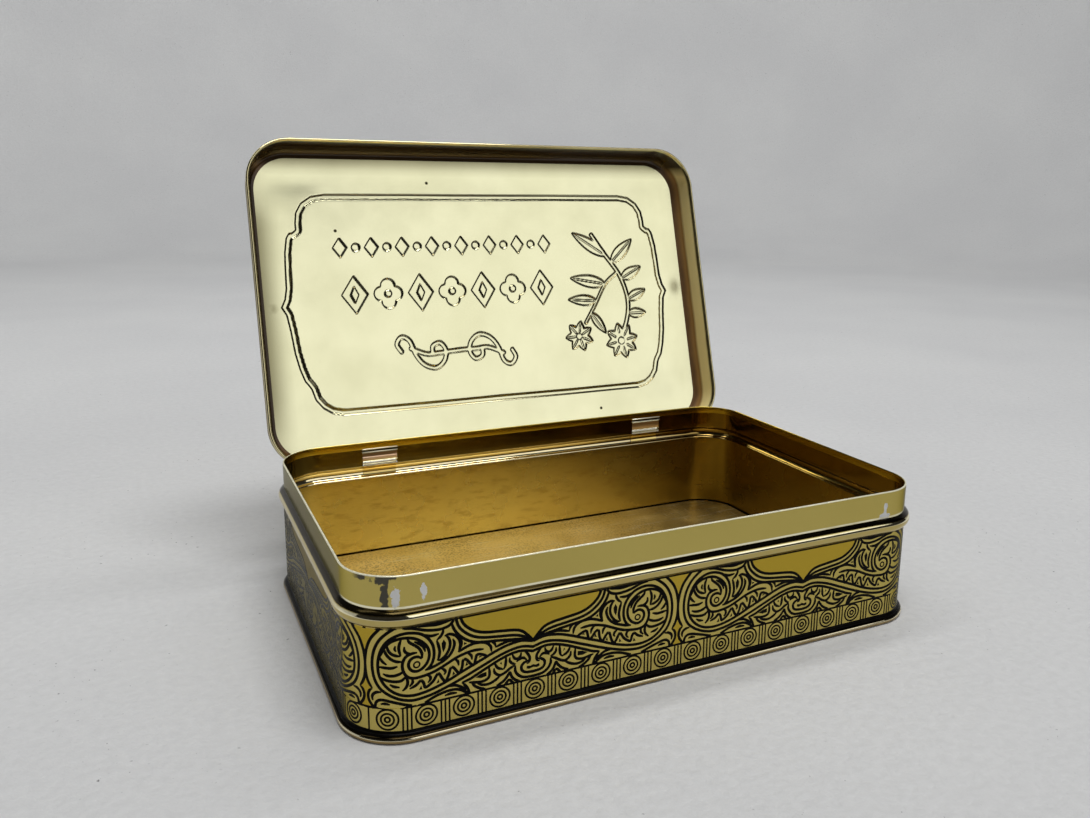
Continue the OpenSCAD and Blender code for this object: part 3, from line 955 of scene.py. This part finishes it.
def merged(drawing, left, right, marks=()):
    """Triangles that cover a drawing once, between two upright lines."""
    points = [Vector(p) for p in drawing.points]
    edges = []
    for x in (left, right, *marks):
        edges.append((len(points), len(points) + 1))
        points += [Vector((x, -1.0)), Vector((x, PRINT_TOP + 2))]
    made = geometry.delaunay_2d_cdt(points, edges, drawing.faces, 0, 1e-5, True)
    corners, triangles, owners = np.array([tuple(v) for v in made[0]]), made[2], made[5]
    kept = []
    for triangle, owner in zip(triangles, owners):
        middle = corners[list(triangle)][:, 0].mean()
        if owner and left < middle < right:
            kept.append(tuple(triangle))
    return corners, kept


def stretched(line, extra):
    """A line of the narrow panel, fitted to the wide panel of a side."""
    if extra == 0:
        return line
    if min(x for x, z in line) > KNOT_MIDDLE:
        return [(x + extra, z) for x, z in line]
    cusp = PANEL_HALF + PRINT_SHIFT
    factor = 1 + extra / (cusp - SCROLL_END)
    return [(x if x < SCROLL_END else SCROLL_END + (x - SCROLL_END) * factor, z) for x, z in line]


def half_panel(half, at_corner, slide):
    """The ink of half a panel with its band of roundels, from the panel's end to its middle.

    Strokes that end at the half's outline are carried on past it, and cut there with all the rest.
    """
    extra = half - PANEL_HALF
    cusp = half + PRINT_SHIFT
    art = Drawing()
    for line in SCROLL + OGEE + KNOT:
        line = stretched(line, extra)
        thin = [PRINT_SHIFT + 0.4 < x < cusp - 0.6 and BAND_TOP + 0.4 < z < PRINT_TOP - 0.4
                for x, z in (line[0], line[-1])]
        for end, inner, free in ((0, 1, thin[0]), (-1, -2, thin[1])):
            if not free:
                x, z = line[end]
                ahead = np.subtract(line[end], line[inner])
                ahead = OVERRUN * ahead / np.linalg.norm(ahead)
                line = list(line)
                line[end] = (x + ahead[0], z + ahead[1])
        art.pen(line, INK_W, thin)
    for blob in BLOBS:
        blob = stretched(blob, extra)
        if sum(a[0] * b[1] - a[1] * b[0] for a, b in zip(blob, blob[1:] + blob[:1])) < 0:
            blob = blob[::-1]
        art.polygon(blob)
    art.ring(EYE, 0.75, 0.45, 16)
    art.box(PRINT_SHIFT - 1, cusp + 1, PRINT_TOP - 0.2, PRINT_TOP + 0.25)
    art.box(PRINT_SHIFT - 1, cusp + 1, BAND_TOP - LINE_H / 2, BAND_TOP + LINE_H / 2)
    count = 5 if extra == 0 else 6
    pitch = half / (count - 0.5)
    for k in range(count):
        middle = (cusp + slide - k * pitch, ROUNDEL_Z)
        for radius, steps in ROUNDEL_RINGS:
            art.ring(middle, radius, ROUNDEL_W, steps)
        between = cusp + slide - (k + 0.5) * pitch
        only_one = at_corner and k == count - 1
        for shift in ((0,) if only_one else (-BAR_GAP, 0, BAR_GAP)):
            art.box(between + shift - BAR_W / 2, between + shift + BAR_W / 2, FLARE_Z - 0.02, BAND_TOP)
    return merged(art, PRINT_SHIFT, cusp)


def half_ground(half):
    """The pale ground of half a panel: inside the ornament's outline, and behind the roundels."""
    extra = half - PANEL_HALF
    cusp = half + PRINT_SHIFT
    ground = Drawing()
    left = smooth(SCROLL[0], 4)[::-1][:-1] + [(3.3, PRINT_TOP)]
    left = smooth(SCROLL[1], 4)[::-1][:-1] + left
    arch = smooth(stretched(OGEE[0], extra), 4)
    outline = [(cusp + 0.001, BAND_TOP)] + [(cusp + 0.001, arch[-1][1])] + arch[::-1][1:] + left[::-1]
    ground.polygon([(x, min(max(z, BAND_TOP), PRINT_TOP)) for x, z in tidy(outline)])
    ground.box(PRINT_SHIFT - 1, cusp + 1, FLARE_Z - 0.02, BAND_TOP)
    marks = [PRINT_SHIFT + 1.05 * k for k in range(1, 13)]
    return merged(ground, PRINT_SHIFT, cusp, marks)


def film(name, halves, lift, material):
    """A thin printed layer on the wall, from half panels that each start at s and run either way."""
    points, index, triangles = [], {}, []
    for (corners, cover), start, way in halves:
        for triangle in cover:
            face = []
            for i in triangle:
                x, z = corners[i]
                place = (round(start + way * (x - PRINT_SHIFT), 4), round(float(z), 4))
                if place not in index:
                    index[place] = len(points)
                    points.append(place)
                face.append(index[place])
            if len(set(face)) == 3:
                triangles.append(tuple(face if way > 0 else face[::-1]))
    s, z = np.array(points).T
    n = len(points)
    top = wall_points(s, np.full(n, lift), z)
    under = wall_points(s, np.full(n, FILM_BACK), z)
    edges = dict.fromkeys(edge for a, b, c in triangles for edge in ((a, b), (b, c), (c, a)))
    faces = list(triangles) + [(a + n, c + n, b + n) for a, b, c in triangles]
    faces += [(b, a, a + n, b + n) for a, b in edges if (b, a) not in edges]
    layer = add_mesh(name, np.vstack([top, under]), faces, [material], sharp=30)
    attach(layer, "body")


def make_print():
    """The pale ground and the black lines on each of the four sides."""
    kinds = {"end": (PANEL_HALF, True), "middle": (PANEL_HALF, False), "side": (SIDE_HALF, True)}
    inked = {(kind, way): half_panel(*shape, BAND_SLIDE * way)
             for kind, shape in kinds.items() for way in (-1, 1)}
    narrow, wide = half_ground(PANEL_HALF), half_ground(SIDE_HALF)
    start, front, side = PRINT_SHIFT, 2 * PANEL_HALF, 2 * SIDE_HALF
    # Each side's half panels: the kind, where round the wall it starts, and which way it runs
    walls = {
        "front": [("end", start - front, 1), ("middle", start, -1), ("middle", start, 1),
                  ("end", start + front, -1)],
        "right": [("side", start + front, 1), ("side", start + front + side, -1)],
        "rear": [("end", start + front + side, 1), ("middle", start + 2 * front + side, -1),
                 ("middle", start + 2 * front + side, 1), ("end", start + 3 * front + side, -1)],
        "left": [("side", start - front - side, 1), ("side", start - front, -1)],
    }
    black, pale = black_ink(), metal("pale_gold", edge=PRINTED).material
    for wall, halves in walls.items():
        ground = [(wide if kind == "side" else narrow, place, way) for kind, place, way in halves]
        film("printed_ground_" + wall, ground, PALE_LIFT, pale)
        lines = [(inked[kind, way], place, way) for kind, place, way in halves]
        film("printed_lines_" + wall, lines, INK_LIFT, black)


# ---------------------------------------------------------------- lid

LID_TOP = RIM_Z + LID_H
LID_MID = -NECK_INSET + LID_GAP + SHEET / 2
SHOULDER = (LID_MID + SHEET / 2 - SHOULDER_R, LID_TOP - LID_RISE - SHOULDER_R)
# The sloping border starts at the panel's edge, a little inside the body's outline, and rises over its run
PANEL_EDGE = 2.6
BORDER_DROP, BORDER_RUN = 1.03, 3.4
SHOULDER_END = 73.0
# Spacing of the relief's points, and how many of them make one step where the lid is plain
CELL, PLAIN_CELLS = 0.36, 6

# Places on the lid are x, and v, the distance from the hinges.
# Left half of the embossed frame, by its outer edge; the right half is narrower
FRAME = [
    (0, 101), (-30, 101.1), (-62.5, 101), (-67.5, 100.2), (-71.3, 97.6), (-73.4, 94), (-74, 90), (-74, 87.6),
    (-75.2, 86.6), (-76.5, 86.4), (-77.6, 84.6), (-78.6, 79), (-79, 72), (-79.2, 66), (-80, 62), (-81.5, 59),
    (-79.9, 56), (-79, 50), (-78.2, 42), (-77, 36), (-75.6, 31.6), (-74.2, 29.6), (-73.5, 28.4),
    (-72.4, 24.4),
    (-70, 21.2), (-66.8, 19), (-62.5, 18), (-30, 17.9), (0, 18),
]
FRAME_RIGHT = 0.985
FRAME_W, FRAME_H = 1.75, 0.55
# Soft dents and bumps, as the middle's x and v, the reach along each, and the height
DENTS = (
    (-85.5, 58.8, 3.2, 5.0, -0.22), (84.0, 60.5, 2.8, 4.5, -0.2), (-71, 106, 9, 4.5, 0.16),
    (77, 107, 6, 4, 0.10),
    (72, 12, 8, 4, 0.10), (-78, 12.5, 8, 5, -0.12), (0, 48, 14, 9, 0.03), (-20, 70, 40, 20, -0.05),
    (40, 95, 24, 6, 0.05), (-45, 24, 20, 8, 0.05), (20, 26, 30, 9, -0.04),
)
# Dark spots beside the frame's two side points
DARK_SPOTS = ((-84.6, 58.6, 2.6, 3.6), (84.2, 60.4, 2.2, 3.2))
# Generic shapes stamped in the middle. Two rows of them, as first x, spacing, count and v
SMALL_ROW, LARGE_ROW = (-58.5, 5.95, 15, 80.6), (-54.5, 12.7, 7, 62.6)
# A scroll
FLOURISH = [
    [(-39, 40), (-40.5, 43), (-38.5, 45.6), (-35.5, 44), (-33.5, 38.5), (-30.5, 34.5), (-26, 33),
     (-22.5, 35.5), (-21.5, 39.5), (-23.5, 42.5), (-26.5, 41.5), (-26.8, 38.8)],
    [(6, 38), (7.2, 35), (5, 32.4), (2, 34), (0.2, 39.5), (-2.8, 43.5), (-7.2, 45), (-10.8, 42.5),
     (-11.8, 38.5), (-9.8, 35.5), (-6.8, 36.5), (-6.5, 39.2)],
    [(-35.2, 41), (-29.5, 38.6), (-24.4, 38.6), (-16.6, 39.2), (-9, 39.4), (-4, 39.6), (2.2, 37)],
]
# A spray: each stem and its half width
STEMS = (
    ([(47, 84), (52, 76), (58.5, 66), (61, 55), (58.5, 45), (54, 40)], 0.8),
    ([(57.5, 68), (51, 63), (45, 54), (40, 47)], 0.6),
)
# Each leaf's foot, tip and half width
LEAVES = (
    ((53, 75), (38, 85), 2.6), ((55, 72), (66, 82), 2.6), ((59, 65), (69, 70), 2.4),
    ((51, 63), (35, 66), 2.6),
    ((61, 56), (70, 60), 2.2), ((46, 56), (33, 57), 2.2), ((60.5, 50), (69, 50), 2.1),
    ((43, 51), (49, 42), 1.9),
)
# Each flower's middle, radius, petals and turn
FLOWERS = (((56, 38.5), 7.6, 8, 0.2), ((36.5, 41.5), 6.4, 7, 0.5))


def lid_closed_to_open(points):
    """Turns points of the closed lid about the hinge axis to where the open lid stands."""
    p = np.array(points, float)
    a = math.radians(-OPEN_ANGLE)
    y, z = p[:, 1] - AXIS_Y, p[:, 2] - AXIS_Z
    return np.column_stack([p[:, 0], AXIS_Y + y * math.cos(a) - z * math.sin(a),
                            AXIS_Z + y * math.sin(a) + z * math.cos(a)])


def to_line(x, v, line):
    """Distance from each point to a line of straight stretches."""
    best = np.full(x.shape, 1e9)
    for (ax, av), (bx, bv) in zip(line, line[1:]):
        dx, dv = bx - ax, bv - av
        t = np.clip(((x - ax) * dx + (v - av) * dv) / (dx * dx + dv * dv + 1e-12), 0, 1)
        best = np.minimum(best, (x - ax - t * dx) ** 2 + (v - av - t * dv) ** 2)
    return np.sqrt(best)


def step(value, low, high):
    """Smooth step from 0 at low to 1 at high."""
    t = np.clip((value - low) / (high - low), 0, 1)
    return t * t * (3 - 2 * t)


def lozenge(x, v, cx, cv, a, b):
    """Rough distance outside a lozenge."""
    return (np.abs(x - cx) / a + np.abs(v - cv) / b - 1) * a * b / math.hypot(a, b)


def quatrefoil(x, v, cx, cv, size):
    """Rough distance outside a shape of four lobes."""
    best = np.full(x.shape, 1e9)
    for dx, dv in ((1, 0), (-1, 0), (0, 1), (0, -1)):
        lobe = np.hypot(x - cx - dx * size * 0.5, v - cv - dv * size * 0.56) - size * 0.5
        best = np.minimum(best, lobe)
    return best


def petal(x, v, foot, tip, width):
    """Distance outside a leaf shape, place along it from its foot to its tip, and distance off its axis."""
    ax = np.subtract(tip, foot)
    length = math.hypot(*ax)
    ax = ax / length
    along = ((x - foot[0]) * ax[0] + (v - foot[1]) * ax[1]) / length
    off = np.abs(-(x - foot[0]) * ax[1] + (v - foot[1]) * ax[0])
    wide = width * np.sin(np.pi * np.clip(along, 0, 1) ** 0.8) ** 0.8
    return np.where((along <= 0) | (along >= 1), 9.0, off - wide), along, off


def ornament_relief(x, v):
    """Outward relief of the two rows of shapes and the scroll, stamped in the lid's middle."""
    h = np.zeros(x.shape)

    def stamp(where, outside, height=0.42, soft=0.24):
        h[where] = np.maximum(h[where], height * (1 - step(outside, -soft, soft)))

    def near(cx, cv, rx, rv):
        return (np.abs(x - cx) < rx) & (np.abs(v - cv) < rv)

    first, spacing, count, cv = SMALL_ROW
    for k in range(count):
        cx = first + spacing * k
        here = near(cx, cv, 4, 5)
        if k % 2:
            stamp(here, np.hypot(x[here] - cx, v[here] - cv) - 1.5)
        else:
            stamp(here, lozenge(x[here], v[here], cx, cv, 2.6, 3.7))
    first, spacing, count, cv = LARGE_ROW
    for k in range(count):
        cx = first + spacing * k
        here = near(cx, cv, 8, 8.5)
        if k % 2:
            outside = quatrefoil(x[here], v[here], cx, cv, 5.4)
            stamp(here, np.maximum(outside, 1.3 - np.hypot(x[here] - cx, v[here] - cv)))
        else:
            outside = lozenge(x[here], v[here], cx, cv, 4.9, 7.2)
            stamp(here, np.maximum(outside, -lozenge(x[here], v[here], cx, cv, 1.5, 3.2)))
    here = near(-17, 39, 26, 10)
    for line in FLOURISH:
        stamp(here, to_line(x[here], v[here], smooth(line, 5)) - 0.75, 0.3)
    return h


def spray_relief(x, v):
    """Outward relief of a spray of two open flowers and long leaves."""
    h = np.zeros(x.shape)

    def leaf(foot, tip, width):
        reach = width + 1.5
        lo, hi = np.minimum(foot, tip) - reach, np.maximum(foot, tip) + reach
        here = (x > lo[0]) & (x < hi[0]) & (v > lo[1]) & (v < hi[1])
        outside, along, off = petal(x[here], v[here], foot, tip, width)
        rise = 0.55 * (1 - step(outside, -0.45, 0.25))
        rise *= 1 - 0.45 * (1 - step(off, 0.1, 0.5)) * (along > 0.08) * (along < 0.9)
        h[here] = np.maximum(h[here], rise)

    for line, wide in STEMS:
        here = (x > 30) & (x < 70) & (v > 30) & (v < 88)
        rib = 0.5 * (1 - step(to_line(x[here], v[here], smooth(line)) - wide, -0.4, 0.3))
        h[here] = np.maximum(h[here], rib)
    for shape in LEAVES:
        leaf(*shape)
    for (cx, cv), size, petals, turn in FLOWERS:
        for a in (turn + 2 * math.pi * k / petals for k in range(petals)):
            leaf((cx, cv), (cx + size * math.cos(a), cv + size * math.sin(a)), size * 0.30)
        here = (np.abs(x - cx) < 4) & (np.abs(v - cv) < 4)
        eye = 0.75 * (1 - step(np.hypot(x[here] - cx, v[here] - cv), size * 0.17, size * 0.3))
        h[here] = np.maximum(h[here], eye)
    return h


def lid_relief(x, y):
    """Outward height of the stamped lid over its plain shape."""
    v = AXIS_Y - y
    outline = FRAME + [(-fx * FRAME_RIGHT, fv) for fx, fv in reversed(FRAME[1:-1])] + FRAME[:1]
    depth = to_line(x, v, outline)
    depth = np.where(within(x, v, outline), depth, -depth)
    h = FRAME_H * step(depth, 0.0, 0.5) * (1 - step(depth, FRAME_W, FRAME_W + 0.5))
    h = np.maximum(h, np.maximum(ornament_relief(x, v), spray_relief(x, v)))
    for cx, cv, rx, rv, height in DENTS:
        h = h + height * soft_spot(x, v, cx, cv, rx, rv)
    return h


def soft_spot(x, v, cx, cv, rx, rv):
    """A smooth spot: 1 at its middle, and close to 0 at twice its reach."""
    return np.exp(-((x - cx) / rx) ** 2 - ((v - cv) / rv) ** 2)


def within(x, v, line):
    """Whether each point is inside a closed line."""
    crossed = np.zeros(x.shape, bool)
    for (ax, av), (bx, bv) in zip(line, line[1:]):
        if abs(av - bv) < 1e-12:
            continue
        hit = ((av > v) != (bv > v)) & (x < (bx - ax) * (v - av) / (bv - av) + ax)
        crossed ^= hit
    return crossed


def inset(x, y):
    """Distance inside the body's outline."""
    dx, dy = np.abs(x) - STRAIGHT_W / 2, np.abs(y) - STRAIGHT_D / 2
    corner = CORNER_R - np.hypot(np.maximum(dx, 0), np.maximum(dy, 0))
    return np.where((dx > 0) | (dy > 0), corner, CORNER_R - np.maximum(dx, dy))


def lid_top(x, y):
    """Height of the closed lid's outer face over its middle and its sloping border."""
    fall = BORDER_DROP * np.exp(-(inset(x, y) - PANEL_EDGE) / BORDER_RUN)
    return LID_TOP - fall + lid_relief(x, y)


def lid_ring():
    """Open section of the lid's edge: from the border's outer face, round the curl, to its inner face."""
    edge = LID_TOP - BORDER_DROP
    skirt = (43.0, 41.0, 39.0, 37.5, 36.4)
    face, back = LID_MID + SHEET / 2, LID_MID - SHEET / 2
    outer = [(-PANEL_EDGE, edge)]
    outer += arc(SHOULDER, SHOULDER_R, SHOULDER_END, 0, 14)
    outer += [(face, z) for z in skirt]
    curl = (-NECK_INSET + LID_GAP + CURL_R, RIM_Z + CURL_R)
    start = math.degrees(math.acos((face - curl[0]) / CURL_R))
    outer += arc(curl, CURL_R, start, -180, 16)
    inner = [(back, z) for z in reversed(skirt)]
    inner += arc(SHOULDER, SHOULDER_R - SHEET, 0, SHOULDER_END, 14)
    inner += [(-PANEL_EDGE, edge - SHEET)]
    return tidy(outer + inner)


def stamp_edges(x, y):
    """How steep the stamped relief is, from 0 on the flat to 1 on its sharpest edges, which sets the painted
    shade there.
    """
    reach = 0.15
    dx = (lid_relief(x + reach, y) - lid_relief(x - reach, y)) / (2 * reach)
    dy = (lid_relief(x, y + reach) - lid_relief(x, y - reach)) / (2 * reach)
    return np.clip(np.hypot(dx, dy) / 0.9, 0, 1)


def shade_and_dark_spots(x, y):
    """How dark the lid is painted: painted shade along its left end and at its front, and dark spots beside
    the frame's side points.
    """
    v = AXIS_Y - y
    left = 0.95 * (1 - step(x, -89.5, -77.5)) * (1 - 0.75 * step(v, 88, 104)) * (0.55 + 0.45 * step(v, 4, 30))
    dim = np.maximum(left, 0.85 * step(v, 107.5, 115))
    for spot in DARK_SPOTS:
        dim = np.maximum(dim, 0.8 * soft_spot(x, v, *spot))
    return dim


def make_lid():
    """The lid, with what its materials read at each point: painted shade on the stamped edges, painted shade
    and dark spots, and depth inside.
    """
    section = lid_ring()
    edges = rear_edges(LEAF_W / 2 + TURN_GAP)
    places = stations(5, 20, edges)
    points, faces, kinds = capped(section, places, relief_points(), lid_top)
    m = len(section)
    inner_plate, outer_side, inner_skirt, curl = range(4)
    curl_top = RIM_Z + 2 * CURL_R + 0.2
    slots = []
    for face, kind in zip(faces, kinds):
        j = face[0] % m
        if kind == SWEEP:
            slots.append(curl if section[j][1] < curl_top else outer_side if j < m // 2 else inner_skirt)
        else:
            slots.append(outer_side if kind == UPPER else inner_plate)
    # Painted shade follows the relief's steep edges
    stamped = stamp_edges(points[:, 0], points[:, 1])
    stamped[:len(places) * m] = 0
    # Painted shade along the left end and front, and dark spots
    dim = shade_and_dark_spots(points[:, 0], points[:, 1])
    depth = np.clip((points[:, 2] - RIM_Z) / (LID_H - BORDER_DROP - SHEET), 0, 1)
    points = cut_curl(points, m, places, edges)
    materials = [lid_gold(), litho_gold(), skirt_painted_light(), metal("curl_gold").material]
    lid = add_mesh("drawn_lid", lid_closed_to_open(points), faces, materials, slots, sharp=60)
    for mark, values in (("stamp", stamped), ("dim", dim), ("depth", depth)):
        lid.data.attributes.new(mark, "FLOAT", "POINT").data.foreach_set("value", values.astype(np.float32))
    outward(lid)
    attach(lid, "lid")
    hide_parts("lid")


def cut_curl(points, m, places, edges):
    """Flattens the curl against the skirt where the hinge leaves pass."""
    points = points.copy()
    n = len(places)
    ring = points[:n * m].reshape(n, m, 3)
    limit = AXIS_Z + KNUCKLE_R + TURN_GAP
    out = BODY_D / 2 + LID_MID + SHEET / 2
    for first, last in (edges[:2], edges[2:]):
        for i in np.where((places > first - 1e-6) & (places < last + 1e-6))[0]:
            ring[i, :, 2] = np.maximum(ring[i, :, 2], limit)
            ring[i, :, 1] = np.minimum(ring[i, :, 1], out)
    return points


def relief_points():
    """Points over the lid's middle and border, closest together where the relief is steep."""
    nx, ny = int((BODY_W - 4) / CELL), int((BODY_D - 4) / CELL)
    x, y = np.meshgrid((np.arange(nx) - nx // 2) * CELL, (np.arange(ny) - ny // 2) * CELL, indexing="ij")
    relief = lid_relief(x, y)
    steep = np.abs(np.gradient(relief, CELL, axis=0)) + np.abs(np.gradient(relief, CELL, axis=1)) > 0.06
    for axis in (0, 1):
        steep = steep | np.roll(steep, 1, axis) | np.roll(steep, -1, axis)
    column, row = np.indices((nx, ny))
    plain = (column % PLAIN_CELLS == 0) & (row % PLAIN_CELLS == 0)
    wanted = (steep | plain) & (inset(x, y) > PANEL_EDGE + 0.35)
    return np.column_stack([x[wanted], y[wanted]])


# ---------------------------------------------------------------- bottom

def floor_height(x, y):
    """The floor's upper face, which is not quite flat."""
    wave = 0.10 * np.sin(x / 27 + 1) * np.cos(y / 21) - 0.12 * np.cos(x / 60) * np.cos(y / 40)
    return FLOOR_Z + wave * step(inset(x, y), 1.7, 12)


def make_bottom():
    """The bottom: its floor, the slot that holds the wall's foot, and the curled rim round it."""
    slot, round_r = 0.705, SEAM_H / 2
    bend = (-1.15, FLOOR_Z - 0.35)
    section = [(-SEAM_IN - SHEET, FLOOR_Z), (bend[0], FLOOR_Z)] + arc(bend, 0.35, 90, 10, 5)
    section += [(-0.6, 2.0), (0.2, 1.4), (0.25, 0.55), (slot, 0.55), (slot, 1.65)]
    section += arc((SEAM_OUT - round_r, round_r), round_r, 76, -90, 20)
    section += [(0.0, 0.02), (-1.0, 0.0)] + arc((-SEAM_IN, 0.3), 0.3, -90, -180, 4)
    section += [(-SEAM_IN - SHEET, 1.2), (-SEAM_IN - SHEET, FLOOR_Z - SHEET)]
    section = tidy(section)
    grid = 5.0
    x, y = np.meshgrid(np.arange(-88, 88.1, grid), np.arange(-56, 56.1, grid), indexing="ij")
    inside = inset(x, y) > SEAM_IN + SHEET + 1.0
    inner = np.column_stack([x[inside], y[inside]])
    points, faces, kinds = capped(section, stations(6, 18), inner, floor_height)
    m = len(section)
    slots = [int(kind == UPPER or kind == SWEEP and face[0] % m == 0) for face, kind in zip(faces, kinds)]
    bottom = add_mesh("seamed_bottom", points, faces, [bronze(), floor_gold()], slots)
    outward(bottom)
    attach(bottom, "body")
    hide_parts("bottom_plate")


# ---------------------------------------------------------------- hinges

def make_lips():
    """The edge of each hinge window is folded over in two narrow ridges."""
    face = BODY_D / 2 - NECK_INSET - SHEET
    ridge = 0.22
    profile = [(face + 0.02, 41.25), (face - 0.2, 41.3)] + arc((face - 0.3, 40.98), ridge, 110, 250, 8)
    profile += [(face - 0.2, 40.55), (face - 0.2, 40.25)] + arc((face - 0.32, 39.9), ridge, 110, 270, 8)
    profile += [(face - 0.05, 39.72), (face + 0.02, 39.8)]
    width = WINDOW_W + 0.5
    cuts = [(0.0, 0.35), (0.12, 0.7), (0.4, 1.0)]
    places = [(-width / 2 + a, k) for a, k in cuts] + [(width / 2 - a, k) for a, k in reversed(cuts)]
    middle_z = 40.5
    m = len(profile)
    for side, name in ((-1, "left"), (1, "right")):
        points = [(side * HINGE_X + x, face + (y - face) * k, middle_z + (z - middle_z) * (0.8 + 0.2 * k))
                  for x, k in places for y, z in profile]
        faces = grid_faces(len(places), m, True)
        faces += [list(range(m)), list(range((len(places) - 1) * m, len(places) * m))]
        lip = add_mesh("window_lip_" + name, points, faces, [lip_tin()])
        outward(lip)
        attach(lip, "body")


make_camera()
make_floor()
make_lights()
make_wall()
make_print()
make_lid()
make_bottom()
make_lips()

for part, finish in (("body_hinge", leaf_tin()), ("lid_hinge", metal("tinplate").material),
                     ("hinge_pin", metal("tinplate").material)):
    for side in ("left", "right"):
        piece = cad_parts[part + "_" + side]
        piece.data.materials.clear()
        piece.data.materials.append(finish)
